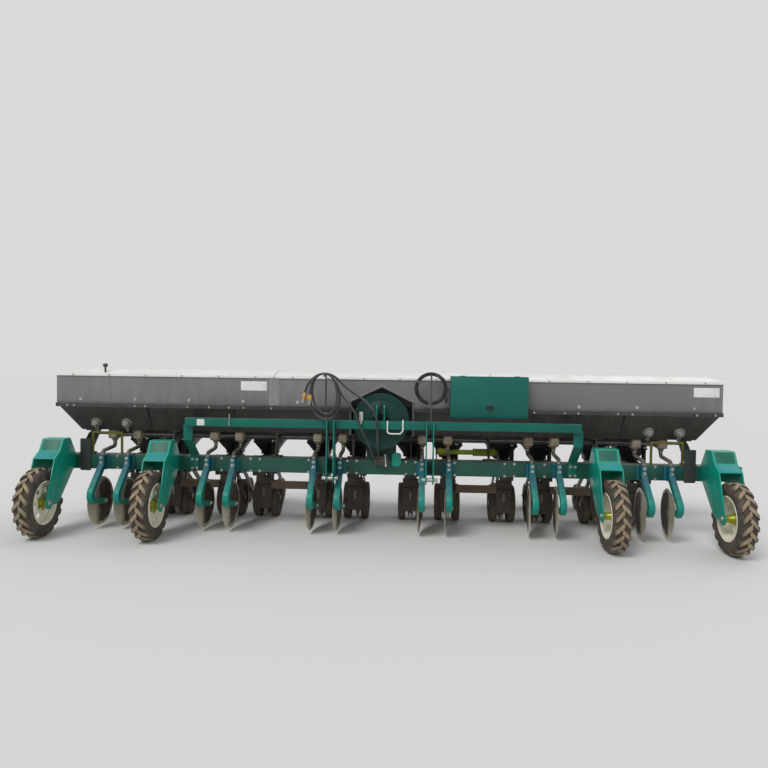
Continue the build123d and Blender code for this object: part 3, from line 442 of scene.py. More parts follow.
# Half of the rim's outside, from the lip's edge to the well. Columns: from the middle, radius
rim_side = ((0.0742, 0.2045), (0.0735, 0.2105), (0.0708, 0.2122), (0.0672, 0.2105), (0.0652, 0.2040),
            (0.0640, 0.1965), (0.0600, 0.1957), (0.0430, 0.1950), (0.0330, 0.1830), (0.0, 0.1810))
hub_outline = ((-0.093, bore_radius), (-0.093, 0.030), (-0.090, 0.034), (-0.030, 0.036), (-0.012, 0.050),
               (0.008, hub_radius), (0.060, hub_radius), (0.064, 0.048), (0.070, 0.036), (0.090, 0.034),
               (0.093, 0.030), (0.093, bore_radius))


def sector_border(inner, outer, half):
    """The border of a sector between two radii, met by rays from the middle of its hole."""
    border = []
    for step in range(hole_steps):
        angle = 2 * math.pi * step / hole_steps
        reach = Vector((math.cos(angle), math.sin(angle)))
        low, high = 0.0, outer
        for _ in range(30):
            middle = (low + high) / 2
            x, y = hole_pitch + reach.x * middle, reach.y * middle
            inside = inner < math.hypot(x, y) < outer and abs(math.atan2(y, x)) < half
            low, high = (middle, high) if inside else (low, middle)
        border.append((hole_pitch + reach.x * low, reach.y * low))
    for radius in (inner, outer):
        for side in both:
            corner = (radius * math.cos(side * half), radius * math.sin(side * half))
            nearest = min(range(hole_steps), key=lambda step: math.dist(border[step], corner))
            border[nearest] = corner
    return border


sorting_direction = Vector((0.31, 0.53, 0.79))


def pierced_dish():
    """The rim's dish: a plate with a round hole in each sector, slightly coned between hub and rim."""
    shape = bmesh.new()
    half = math.pi / hole_count
    inner = hub_radius - 0.004
    outer = rim_well + 0.003
    border = sector_border(inner, outer, half)
    turns = [2 * math.pi * step / hole_steps for step in range(hole_steps)]
    hole = [(hole_pitch + hole_radius * math.cos(turn), hole_radius * math.sin(turn)) for turn in turns]
    for sector in range(hole_count):
        loops = []
        for share in (0.0, 0.3, 1.0):
            loop = []
            for near, far in zip(hole, border):
                x, y = (n + share * (f - n) for n, f in zip(near, far))
                radius = math.hypot(x, y)
                cone = dish_cone * math.sin(math.pi * (radius - inner) / (outer - inner))
                angle = math.atan2(y, x) + 2 * half * sector
                loop.append((dish_at + cone, radius * math.cos(angle), radius * math.sin(angle)))
            loops.append(ring_of(shape, loop))
        bridge(shape, loops)
    bmesh.ops.remove_doubles(shape, verts=shape.verts, dist=dish_weld)
    bmesh.ops.recalc_face_normals(shape, faces=shape.faces)
    bmesh.ops.solidify(shape, geom=shape.faces, thickness=dish_sheet)
    # Solidify adds the holes' edges in another order each run, so the faces are put in order here
    shape.faces.sort(key=lambda face: face.calc_center_median().dot(sorting_direction))
    return closed_mesh(shape)


cream = weathered("cream_enamel_on_pressed_steel", "#FCF5E4", "#EFE5D0", settled=0.1, splash=0.16,
                  splash_top=0.4, roughness=0.4, patch=0.08, grain=0.002)
yellow_zinc = weathered("yellow_passivated_zinc", "#B4BC38", "#8C8A3C", settled=0.3, splash=0.2,
                        roughness=0.35, metallic=0.7, patch=0.05)


def walled(outline, wall):
    """The outline of a sheet that is bent along a line of points, a wall thick, on the line's left."""
    inner = []
    for number, (x, radius) in enumerate(outline):
        before = outline[max(number - 1, 0)]
        after = outline[min(number + 1, len(outline) - 1)]
        along = Vector((after[0] - before[0], after[1] - before[1])).normalized()
        inner.append((x - along.y * wall, radius + along.x * wall))
    return tuple(outline) + tuple(reversed(inner))


def hex_bolt(size):
    """A bolt's or nut's head that stands on the x axis, with its washer, from 0 outwards. Its size is the
    width across its flats, its height and its washer's thickness."""
    across, height, washer = size
    head = turned(((height, 0.0), (height, across * 0.44), (height * 0.86, across / 2), (washer, across / 2),
                   (washer, 0.0)), 6)
    if not washer:
        return head
    plate = turned(((washer, 0.0), (washer * 1.0001, across * 0.66), (washer * 0.4, across * 0.72),
                    (0, across * 0.72), (0, 0.0)), 16)
    return joined(head, plate)


rim_mesh = joined(turned(walled(mirrored(rim_side), rim_sheet), closed=True), pierced_dish())
wheel_bolt = moved(hex_bolt(wheel_head), at(dish_at + 0.004, wheel_bolt_pitch, 0))
hub_mesh = joined(turned(hub_outline, 48, closed=True), all_round(wheel_bolt, wheel_bolt_count, yellow_zinc))
for number, place in enumerate(wheel_places, 1):
    spot = at(place, axle_y, tyre_radius)
    finished(f"wheel_rim_{number}", moved(rim_mesh, spot), cream, f"ground_wheel_{number}",
             (f"rim_{number}",))
    finished(f"wheel_hub_{number}", moved(hub_mesh, spot), yellow_zinc, f"ground_wheel_{number}")


# Fertiliser openers: twelve arms of 60 mm bar, bent forward round the disc and back to its hub, each clamped
# against the toolbar with two bolts. Bright green enamel with painted shade, darker and bluer towards the
# top, and zinc bolts.
arc_steps = 8
plate_edge = 0.0022
seat_gap = 0.0005
ridge_count = 6
ridge_pitch = 1.1
opener_spread = 0.134
clamp_head = (0.026, 0.016, 0.004)
hub_head = (0.034, 0.020, 0.004)
opener_y = bar_y - 0.125
disc_z = 0.270
disc_radius = 0.250
disc_offset = 0.022
disc_angle = 5.0
arm_top = 0.742
arm_width = 0.060
arm_depth = 0.060
arm_bend = 0.060
arm_half = arm_width / 2
foot_inset = 0.004
foot_end = foot_inset + 0.024
boss_radius = 0.032
boss_chamfer = 0.004
boss_start = -disc_offset + 0.0121
boss_end = foot_end + boss_chamfer
strap_half = 0.052
strap_margin = 0.006
clamp_bolt_heights = (0.668, 0.718)
# Shares of the way from the disc's hub to its front edge, and of the height from hub to arm top
upper_shares = ((0.04, 1.0), (0.04, 0.79), (1.04, 0.28), (1.08, 0.17), (0.85, 0.06))
lower_shares = ((1.04, 0.24), (0.92, 0.10), (0.0, 0.0))
painted_highlight_shares = ((0.50, 0.475), (0.86, 0.275), (0.89, 0.17), (0.80, 0.10))


def side_points(shares):
    """Places in the side view, from shares of the disc's radius and of the arm's height."""
    return [(opener_y - along * disc_radius, disc_z + up * (arm_top - disc_z)) for along, up in shares]


def ridge_tree():
    """Repeats what stands on one ridge's centre line over all ridges, once on each side of the line."""
    tree, given = new_tree("repeated_over_the_ridges", ("Ridges", "NodeSocketInt", ridge_count),
                           ("Pitch", "NodeSocketFloat", ridge_pitch), ("Spread", "NodeSocketFloat", 0.0),
                           ("Material", "NodeSocketMaterial", None))
    width = maths(tree, "MULTIPLY", maths(tree, "SUBTRACT", given["Ridges"], 1.0), given["Pitch"])
    first = maths(tree, "MULTIPLY", width, -0.5)
    step = add(tree, "ShaderNodeCombineXYZ", {0: given["Pitch"]}).outputs[0]
    lines = add(tree, "GeometryNodeJoinGeometry")
    for side in ("ADD", "SUBTRACT"):
        start = add(tree, "ShaderNodeCombineXYZ", {0: maths(tree, side, first, given["Spread"])}).outputs[0]
        line = add(tree, "GeometryNodeMeshLine", {"Count": given["Ridges"], "Start Location": start,
                                                  "Offset": step}, mode="OFFSET")
        tree.links.new(line.outputs[0], lines.inputs[0])
    copies = add(tree, "GeometryNodeInstanceOnPoints", {"Points": lines.outputs[0],
                                                        "Instance": given["Geometry"]})
    return end_real(tree, copies, given["Material"])


over_the_ridges = ridge_tree()


def turn_about(axis, degrees):
    """A turn about an axis."""
    return Matrix.Rotation(math.radians(degrees), 4, axis)


to_front = turn_about("Z", -90)


def for_openers(mesh, material):
    """A mesh made for x = 0, repeated at every fertiliser opener, in its material."""
    return run_tree(over_the_ridges, mesh, Spread=opener_spread, Material=material)


def rounded_line(points, bend):
    """A line of points with its corners turned into arcs of a bend radius."""
    line = [Vector(points[0])]
    for before, here, after in zip(points, points[1:], points[2:]):
        here = Vector(here)
        back = Vector(before) - here
        forth = Vector(after) - here
        half = back.angle(forth) / 2
        reach = min(bend / math.tan(half), 0.49 * back.length, 0.49 * forth.length)
        radius = reach * math.tan(half)
        start = here + back.normalized() * reach
        end = here + forth.normalized() * reach
        middle = here + (back.normalized() + forth.normalized()).normalized() * (radius / math.sin(half))
        line += [middle + (start - middle).lerp(end - middle, step / arc_steps).normalized() * radius
                 for step in range(arc_steps + 1)]
    return line + [Vector(points[-1])]


def band(line, depth):
    """The outline of a bar of some depth along a line in a plane."""
    sides = ([], [])
    for number, here in enumerate(line):
        along = (line[min(number + 1, len(line) - 1)] - line[max(number - 1, 0)]).normalized()
        normal = Vector((-along.y, along.x))
        sides[0].append(here + normal * depth / 2)
        sides[1].append(here - normal * depth / 2)
    return sides[0] + sides[1][::-1]


def oblong(x_low, x_high, y_low, y_high, corner, steps=5):
    """The points of an oblong outline with round corners."""
    points = []
    for x, y, start in ((x_high - corner, y_high - corner, 0), (x_low + corner, y_high - corner, 90),
                        (x_low + corner, y_low + corner, 180), (x_high - corner, y_low + corner, 270)):
        for step in range(steps + 1):
            turn = math.radians(start + 90 * step / steps)
            points.append((x + corner * math.cos(turn), y + corner * math.sin(turn)))
    return points


def add_line(curve, kind, line):
    """One more line of points in a curve."""
    spline = curve.splines.new(kind)
    spline.points.add(len(line) - 1)
    for knot, point in zip(spline.points, line):
        knot.co = (*Vector(point).to_3d(), 1.0)
    return spline


def from_curve(curve, place=Matrix()):
    """The closed mesh of a curve, moved to its place."""
    mesh = evaluated(added("holder", curve))
    mesh.transform(place)
    shape = bmesh.new()
    shape.from_mesh(mesh)
    return closed_mesh(shape)


def cut_plate(outlines, low, high, view, edge=plate_edge):
    """A plate with small round edges between low and high, from outlines in the side, front or top view.
    Outlines that lie inside the first one are holes."""
    curve = bpy.data.curves.new("plate", "CURVE")
    curve.dimensions = "2D"
    curve.fill_mode = "BOTH"
    curve.extrude = (high - low) / 2 - edge
    curve.bevel_depth = edge
    curve.bevel_resolution = 1
    curve.offset = -edge
    for outline in outlines:
        add_line(curve, "POLY", outline).use_cyclic_u = True
    axes = {"side": ((0, 1, 0), (0, 0, 1), (1, 0, 0)), "front": ((1, 0, 0), (0, 0, 1), (0, -1, 0)),
            "top": ((1, 0, 0), (0, 1, 0), (0, 0, 1))}[view]
    place = Matrix(axes).transposed().to_4x4()
    place.translation = Vector([abs(value) for value in axes[2]]) * ((low + high) / 2)
    return from_curve(curve, place)


def plate_on(face, box, corner, rise, gap=seat_gap, edge=plate_edge):
    """A plate with round corners that lies on a front face, from a gap to a rise ahead of it."""
    return cut_plate([oblong(*box, corner)], face - rise, face - gap, "front", edge)


upper_leg = band(rounded_line(side_points(upper_shares), arm_bend), arm_depth)
lower_leg = band(rounded_line(side_points(lower_shares), arm_bend), arm_depth * 0.9)
arm_face = side_points(upper_shares)[0][0]
boss = turned(((boss_start, 0.0), (boss_start, boss_radius), (foot_end, boss_radius),
               (boss_end, boss_radius - boss_chamfer), (boss_end, 0.0)), 32)
clamp = oblong(arm_face + arm_depth * 0.3, bar_front - 0.0003, bar_bottom, bar_top, 0.006)
clamp = cut_plate([clamp], -arm_half, arm_half, "side")
strap_box = (-strap_half, strap_half, bar_bottom + strap_margin, bar_top - strap_margin)
strap = plate_on(bar_front, strap_box, 0.012, 0.0125)
arm_mesh = joined(cut_plate([upper_leg], -arm_half, arm_half, "side", 0.007),
                  cut_plate([lower_leg], foot_inset, foot_end, "side", 0.004),
                  clamp, strap, moved(boss, at(0, opener_y, disc_z)))
# Its bands are painted shade: darker, bluer green at three heights up the arm's upper part.
arm_green = weathered("sprayed_green_enamel_and_painted_shade_on_bent_bar", "#058C7A", "#0C8378", settled=0.3, splash=0.35,
                      splash_top=0.45, roughness=0.36, patch=0.2,
                      bands=((0.45, "#067D77"), (0.52, "#0D6F73"), (0.58, "#12636E")))
finished("fertiliser_opener_arms", for_openers(arm_mesh, arm_green), arm_green, replaces=("opener_arms",))
zinc = weathered("bright_zinc_on_fasteners", "#C9C9C4", "#9E9A92", settled=0.25, splash=0.15, roughness=0.32,
                 metallic=0.85, patch=0.06, grain=0.001, relief=0.0001)
clamp_bolts = [moved(hex_bolt(clamp_head), at(0, arm_face - arm_depth / 2, z), to_front)
               for z in clamp_bolt_heights]
hub_nut = moved(hex_bolt(hub_head), at(boss_end, opener_y, disc_z))
finished("opener_bolts", for_openers(joined(hub_nut, *clamp_bolts), zinc), zinc)


# Webs that broaden the forks' legs: 7 mm steel plates welded inside the legs, from the toolbar's lower edge
# down to the axle, in the same bright green enamel.
web_line = ((-0.812, 0.345), (-0.790, 0.318), (-0.750, 0.300), (-0.690, 0.303), (-0.630, 0.330),
            (-0.370, 0.592), (-0.360, 0.620), (-0.364, 0.640), (-0.640, 0.668), (-0.720, 0.560))
web_from = 0.1025
web_to = 0.1095
webs = []
for place in wheel_places:
    for side in both:
        low, high = sorted((place + side * web_from, place + side * web_to))
        webs.append(cut_plate([web_line], low, high, "side", 0.0015))
finished("fork_leg_webs", joined(*webs), fork_green)


# Painted light on the two slopes of each fork's cover: thin sheets that lie flat on the bent cover, enamelled
# dark green above as painted shade on the steeper slope and blue-green below as a painted highlight on the
# flatter slope.
cover_low, cover_bend, cover_top = (-0.7338, 0.748), (-0.6298, 0.810), (-0.5596, 0.925)
cover_margin = 0.012
cover_half = 0.088
cover_gap = 0.0003
cover_rise = 0.0020


def slope_plate(start, end):
    """The outline of a thin plate that lies on a slope of the fork's cover, in from its ends by a margin."""
    start, end = Vector(start), Vector(end)
    along = (end - start).normalized()
    out = Vector((-along.y, along.x))
    low, high = start + along * cover_margin, end - along * cover_margin
    return [low + out * cover_gap, high + out * cover_gap, high + out * cover_rise, low + out * cover_rise]


# The cover sheets carry painted light: dark green for shade above, blue-green for the sky's highlight below.
cover_painted_shade = weathered("painted_shade_dark_green_on_cover", "#076B57", "#0A5E4D", settled=0.3, splash=0.1,
                       roughness=0.4)
cover_painted_highlight = weathered("painted_highlight_blue_green_on_cover", "#078C93", "#0B9A98", settled=0.2, splash=0.1,
                       roughness=0.3)
for name, start, end, material in (("fork_cover_upper_painted_shade", cover_bend, cover_top, cover_painted_shade),
                                   ("fork_cover_lower_painted_highlight", cover_low, cover_bend, cover_painted_highlight)):
    plates = [cut_plate([slope_plate(start, end)], place - cover_half, place + cover_half, "side", 0.0005)
              for place in wheel_places]
    finished(name, joined(*plates), material)


# Painted highlights inside the elbows of the outer openers: flat bars 22 mm deep and 6 mm thick, bent
# edgewise beside the arm, in bright zinc-plated steel that stands in for the light caught on the arm's inner
# edge.
outer_ridge = 2.75
painted_highlight_in = 0.0335
painted_highlight_half = 0.003
painted_highlight_line = band(rounded_line(side_points(painted_highlight_shares), 0.030), 0.022)
painted_highlight_bars = []
for side in both:
    for spread in (-opener_spread, opener_spread):
        middle = side * (outer_ridge + spread - painted_highlight_in)
        painted_highlight_bars.append(cut_plate([painted_highlight_line], middle - painted_highlight_half, middle + painted_highlight_half, "side",
                                  0.001))
finished("outer_opener_painted_highlights", joined(*painted_highlight_bars), zinc)


# Discs: the coulter discs of the openers and the two that meet at the front of each seed row. Hardened steel
# 6 and 4 mm thick, rusty brown from the soil and bright at the rim where it scours them, with a painted
# highlight over their front part, on turned hubs with rivets.
row_pitch = 1.0
row_spread = 0.200
disc_bevel = 0.024
seed_y = bar_y + 0.525
seed_disc_z = 0.190
seed_disc_radius = 0.178
seed_disc_offset = 0.020


def coulter(radius, sheet, hub, hub_length, rivets, steel):
    """A flat disc about the x axis, ground to an edge, with a stepped hub and its rivets on both sides."""
    half = sheet / 2
    side = ((hub_length / 2, 0.0), (hub_length / 2, hub * 0.55), (hub_length * 0.42, hub * 0.62),
            (hub_length * 0.36, hub * 0.94), (half, hub), (half, radius - disc_bevel),
            (half * 0.35, radius - 0.001), (0.0, radius))
    rivet = turned(((hub_length * 0.62, 0.0), (hub_length * 0.60, 0.004), (hub_length * 0.48, 0.006),
                    (0.0, 0.006), (-hub_length * 0.48, 0.006), (-hub_length * 0.60, 0.004),
                    (-hub_length * 0.62, 0.0)), 10)
    return joined(turned(mirrored(side), 72), all_round(moved(rivet, at(0, hub * 0.78, 0)), rivets, steel))


def disc_steel(name, centre_y, centre_z, radius):
    """Hardened disc steel: soil brown, polished at the rim where the ground scours it, a painted highlight in
    front.
    """
    material, tree, place = new_material(name)
    back, out = from_axle(tree, place, centre_y, centre_z)
    patches = noise(tree, place, 16.0, 8.0, 0.7)
    shift = ramp(tree, patches, 0.3, 0.7, -0.03, 0.03)
    rim = ramp(tree, maths(tree, "ADD", out, shift), radius * 0.83, radius * 0.92)
    # The front of the disc is lightened as a painted highlight; the bright rim is wear.
    front_highlight = ramp(tree, maths(tree, "ADD", back, shift), -radius * 0.06, -radius * 0.40)
    wear_and_highlight = maths(tree, "MAXIMUM", rim, front_highlight)
    brown = mixed(tree, ramp(tree, patches, 0.36, 0.64), "#4A423C", "#6A5D50")
    rings = add(tree, "ShaderNodeTexNoise", {"W": out, "Scale": 900.0, "Detail": 1.0}, noise_dimensions="1D")
    end_surface(tree, {"Base Color": mixed(tree, wear_and_highlight, brown, "#E6DCC8"),
                       "Metallic": ramp(tree, wear_and_highlight, 0.0, 1.0, 0.25, 0.45),
                       "Roughness": ramp(tree, wear_and_highlight, 0.0, 1.0, 0.62, 0.34),
                       "Normal": bumped(tree, rings.outputs[0], 0.25, 0.0004)})
    return material


opener_steel = disc_steel("hardened_opener_disc_steel", opener_y, disc_z, disc_radius)
opener_disc = moved(coulter(disc_radius, 0.006, 0.044, 0.018, 6, opener_steel),
                    at(-disc_offset, opener_y, disc_z), turn_about("Z", -disc_angle))
finished("opener_discs", for_openers(opener_disc, opener_steel), opener_steel, replaces=("discs",))
seed_steel = disc_steel("hardened_seed_disc_steel", seed_y, seed_disc_z, seed_disc_radius)
seed_disc = coulter(seed_disc_radius, 0.004, 0.030, 0.008, 5, seed_steel)
seed_pair = [moved(seed_disc, at(side * seed_disc_offset, seed_y, seed_disc_z),
                   turn_about("Z", -side * disc_angle))
             for side in both]


def for_rows(mesh, material):
    """A mesh made for x = 0, repeated at every seed row, in its material."""
    return run_tree(over_the_ridges, mesh, Pitch=row_pitch, Spread=row_spread, Material=material)


finished("seed_discs", for_rows(joined(*seed_pair), seed_steel), seed_steel, replaces=("discs",))


# Fan: a welded sheet drum 560 mm across in the hopper's recess, its round inlet in front under a wire guard,
# with pressed ribs and a flanged cover. It stands on a post and blows into a duct. Dark green enamel.
fan_head = (0.013, 0.005, 0.001)
fan_z = 1.150
fan_front = bar_y - 0.250
fan_depth = 0.220
fan_rear = fan_front + fan_depth
fan_seat = (at(0, fan_front, fan_z), to_front)
guard_wire = 0.0020
guard_radii = (0.020, 0.036, 0.052, 0.068, 0.082)
cover_bolt_pitch = 0.2535
cover_bolt_count = 16
fan_rib_count = 8
spoke_count = 8
post_half = 0.150
post_foot = 0.018
duct_z = 0.925
duct_radius = 0.050
pipe_y = bar_y + 0.390
# The drum from its inlet in front to its rear wall. Columns: from the front flange, radius
drum_outline = ((-0.030, 0.0), (-0.030, 0.072), (-0.028, 0.074), (-0.003, 0.074), (0.0, 0.077), (0.0, 0.092),
                (-0.003, 0.095), (-0.0055, 0.097), (-0.007, 0.101), (-0.007, 0.203), (-0.0085, 0.205),
                (-0.014, 0.205), (-0.014, 0.278), (-0.016, 0.280), (-0.020, 0.280), (-0.022, 0.278),
                (-0.022, 0.266), (-fan_depth + 0.008, 0.266), (-fan_depth + 0.008, 0.278),
                (-fan_depth + 0.006, 0.280), (-fan_depth + 0.002, 0.280), (-fan_depth, 0.278),
                (-fan_depth, 0.0))
fan_green = weathered("sprayed_dark_green_fan_enamel", "#0B3D35", "#0C322F", settled=0.35, splash=0.25,
                      roughness=0.45, patch=0.25)
pressed_rib = cut_plate([oblong(0.094, 0.2655, -0.005, 0.005, 0.002)], -0.0165, -0.0037, "side", 0.0015)
drum = moved(joined(turned(drum_outline), all_round(pressed_rib, fan_rib_count, fan_green)), *fan_seat)
post = cut_plate([oblong(-post_half, post_half, bar_top + post_foot, fan_z - 0.12, 0.01)], bar_front,
                 bar_front + 0.036, "front")
foot = cut_plate([oblong(-post_half, post_half, bar_front, bar_rear, 0.01)], bar_top + seat_gap,
                 bar_top + post_foot, "top")


def ring(radius, wire, steps=48):
    """A ring of round wire about the x axis."""
    turns = [2 * math.pi * step / 10 for step in range(10)]
    return turned([(wire * math.cos(turn), radius + wire * math.sin(turn)) for turn in turns], steps,
                  closed=True)


def rod(start, end, radius, steps=12):
    """A round bar with chamfered ends between two places."""
    start, end = Vector(start), Vector(end)
    length = (end - start).length
    cut = min(radius * 0.2, length * 0.2)
    bar = turned(((0, 0.0), (0, radius - cut), (cut, radius), (length - cut, radius), (length, radius - cut),
                  (length, 0.0)), steps)
    return moved(bar, Matrix.Translation(start), (end - start).to_track_quat("X", "Z").to_matrix().to_4x4())


duct = rod((0, fan_rear - 0.02, duct_z), (0, pipe_y - duct_radius - seat_gap, duct_z), duct_radius, 32)
finished("fan_drum", joined(drum, post, foot, duct), fan_green, replaces=("fan_housing",))
cover_bolt = moved(hex_bolt(fan_head), at(-0.0143, 0.098, cover_bolt_pitch))
finished("fan_cover_bolts", moved(all_round(cover_bolt, cover_bolt_count, fan_green), *fan_seat), fan_green)
black_wire = weathered("black_enamel_on_wire", "#1D1E1F", "#2A2A2A", settled=0.3, splash=0.1, roughness=0.45)
spokes = all_round(rod((0, 0, 0.018), (0, 0, 0.086), guard_wire, 8), spoke_count, black_wire)
guard = joined(spokes, *[ring(radius, guard_wire) for radius in guard_radii])
finished("fan_inlet_guard", moved(guard, *fan_seat, at(0.0022, 0, 0)), black_wire)


# Peaked trim round the fan's recess: a folded strip 26 mm wide, welded to the hopper's front sheet. Grey
# enamel, paler above the shoulders.
peak_half = 0.320
shoulder_z = 1.330
peak_z = 1.487
trim_foot = 0.990
trim_raise = 0.012
trim_width = 0.026
hopper_low, hopper_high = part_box("hopper_centre")
hopper_front = hopper_low.y
trim_line = [Vector(point) for point in ((-peak_half, trim_foot), (-peak_half, shoulder_z + trim_raise),
                                         (0, peak_z + trim_raise), (peak_half, shoulder_z + trim_raise),
                                         (peak_half, trim_foot))]
trim_grey = weathered("grey_enamel_on_folded_strip", "#6A6B6C", "#5A5A59", settled=0.5, splash=0.1,
                      roughness=0.5, bands=((shoulder_z + 0.01, "#808183"),))
finished("recess_trim", cut_plate([band(trim_line, trim_width)], hopper_front - 0.010, hopper_front + 0.012,
                                  "front", 0.002), trim_grey)


# Upper bar, top-link plates and masts keep their CAD shapes, in green that turns grey on the stands above the
# bar. Zinc bolts hold the masts and the upper bar's legs to the toolbar.
mast_head = (0.024, 0.014, 0.003)
leg_head = (0.022, 0.014, 0.003)
upper_bar_y = bar_y - 0.295
bar_face = upper_bar_y - 0.040
mast_x = 0.4875
mast_half = 0.0403
mast_bolt_inset = 0.022
leg_place = 1.930
leg_bolt_half = 0.024
leg_bolt_inset = 0.03
beam_green = weathered("sprayed_green_enamel_on_box_tube", "#04695A", "#0A5C52", settled=0.45, splash=0.2,
                       roughness=0.38, bands=((1.172, "#4C4D4E"),))
dress("upper_frame", beam_green)
mast_green = weathered("sprayed_green_enamel_on_plate", "#048070", "#0A6F63", settled=0.3, splash=0.25,
                       roughness=0.4, coat=0.15)
dress("hitch_masts", mast_green)


def facing(side):
    """A turn that points what stands on the x axis to one side."""
    return turn_about("Z", 0 if side > 0 else 180)


mast_bolts = [moved(hex_bolt(mast_head), at(side * mast_x + plate * mast_half, bar_front - 0.024, z),
                    facing(plate))
              for side in both
              for plate in both
              for z in (bar_bottom + mast_bolt_inset, bar_top - mast_bolt_inset)]
finished("mast_bolts", joined(*mast_bolts), zinc)
leg_bolts = [moved(hex_bolt(leg_head), at(side * leg_place + x, bar_front - 0.0125, z), to_front)
             for side in both
             for x in (-leg_bolt_half, leg_bolt_half)
             for z in (bar_bottom + leg_bolt_inset, bar_top - leg_bolt_inset)]
finished("leg_bolts", joined(*leg_bolts), zinc)


# Small pieces on the upper bar's front: a bent white hook that parks the hitch pin, a bare square white plate
# at its left end, and a zinc fitting and rod.
white = weathered("white_enamel_on_small_parts", "#ECEDEA", "#DADAD4", settled=0.3, splash=0.1,
                  roughness=0.35, patch=0.06)
hook_y = bar_face - 0.012
hook_foot = hook_y + 0.010
hook = ((0.070, hook_foot, 1.166), (0.070, hook_y, 1.050), (0.100, hook_y, 1.040), (0.196, hook_y, 1.040),
        (0.222, hook_y, 1.070), (0.222, hook_foot, 1.176))
white_plate_box = (-1.828, -1.752, 1.088, 1.150)
fitting_box = (-0.208, -0.170, 1.165, 1.250)
fitting_x, fitting_y = -0.189, bar_face - 0.0105
bar_rod_x, bar_rod_y = -1.500, bar_face - 0.0070


def new_curve(name, kind, line, **settings):
    """A curve with one line of points."""
    curve = bpy.data.curves.new(name, "CURVE")
    for setting, value in settings.items():
        setattr(curve, setting, value)
    add_line(curve, kind, line)
    return curve


def wire_mesh(line, radius, fineness):
    """The mesh of a round wire along a line of points."""
    return from_curve(new_curve("wire", "POLY", line, dimensions="3D", bevel_depth=radius,
                                bevel_resolution=fineness, use_fill_caps=True))


def bent_rod(points, radius, bend):
    """A round rod bent along a line of points in space."""
    return wire_mesh(rounded_line([Vector(point) for point in points], bend), radius, 2)


finished("white_pin_hook", bent_rod(hook, 0.007, 0.02), white)
finished("white_bare_plate", plate_on(bar_face, white_plate_box, 0.006, 0.0025, 0.0002, 0.0005), white)
fitting = [plate_on(bar_face, fitting_box, 0.006, 0.0205, edge=0.003),
           rod((fitting_x, fitting_y, 1.130), (fitting_x, fitting_y, 1.170), 0.012, 16)]
finished("upper_bar_fitting", joined(*fitting), zinc)
finished("upper_bar_rod", rod((bar_rod_x, bar_rod_y, 1.090), (bar_rod_x, bar_rod_y, 1.210), 0.006), zinc)


# Hopper: three tubs of 2 mm sheet with folded rims, bolted end to end. Grey enamel above the waist; the
# slopes under it are painted dark, as shade where they face the ground and as dust and oil. A folded ledge
# runs along the waist.
hopper_rear = hopper_high.y
waist_z = 1.270
rim_z = hopper_high.z
trough_z = 0.985
trough_in = 0.180
hopper_half = 3.380
trough_front = hopper_front + trough_in
trough_rear = hopper_rear - trough_in


def hopper_sheet():
    """Enamelled sheet: pale grey on the panels, painted shade with dust on the slopes, with faint streaks
    down it.
    """
    material, tree, place = new_material("grey_enamel_and_painted_shade_on_hopper_sheet")
    height = axis_values(tree, place)[2]
    stretch = add(tree, "ShaderNodeVectorMath", {0: place, 1: (3.0, 3.0, 0.35)},
                  operation="MULTIPLY").outputs[0]
    streaks = ramp(tree, noise(tree, stretch, 4.0, 8.0, 0.7), 0.35, 0.65)
    broad = ramp(tree, noise(tree, place, 0.9, 3.0), 0.35, 0.65)
    upper = mixed(tree, streaks, mixed(tree, broad, "#76777A", "#8A8B8D"), "#7A7876")
    # Below the waist the sheet is painted dark: painted shade on the slopes that face the ground, with dust.
    lower = mixed(tree, streaks, "#3A3937", "#4C4843")
    low = ramp(tree, height, waist_z + 0.012, waist_z - 0.004)
    end_surface(tree, {"Base Color": mixed(tree, low, upper, lower), "Metallic": 0.15, "Coat Weight": 0.1,
                       "Roughness": ramp(tree, streaks, 0.0, 1.0, 0.42, 0.58),
                       "Normal": bumped(tree, noise(tree, place, 2.6, 2.0), 0.3, 0.02)})
    return material


hopper_grey = hopper_sheet()
for part in ("left", "centre", "right"):
    dress(f"hopper_{part}", hopper_grey, 0.0)
ledge_dark = weathered("dark_grey_enamel_on_folded_edge", "#3B3B3C", "#4A4845", settled=0.7, splash=0.0,
                       roughness=0.5)
# The ledge's section. Columns: behind the sheet's face, above the ledge
ledge_profile = ((0.0, 0.0), (-0.020, 0.0), (-0.024, -0.004), (-0.024, -0.040), (-0.020, -0.040),
                 (-0.020, -0.005), (0.0, -0.005))
ledge_z = waist_z + 0.010
ledge_edge = 0.0008
recess_half = peak_half + 0.004
ledges = []
for face, sign, x_low, x_high in ((hopper_front - seat_gap, 1, -hopper_half, -recess_half),
                                  (hopper_front - seat_gap, 1, recess_half, hopper_half),
                                  (hopper_rear + seat_gap, -1, -hopper_half, hopper_half)):
    outline = [(face + sign * y, ledge_z + z) for y, z in ledge_profile]
    ledges.append(cut_plate([outline], x_low, x_high, "side", ledge_edge))
finished("waist_ledges", joined(*ledges), ledge_dark)


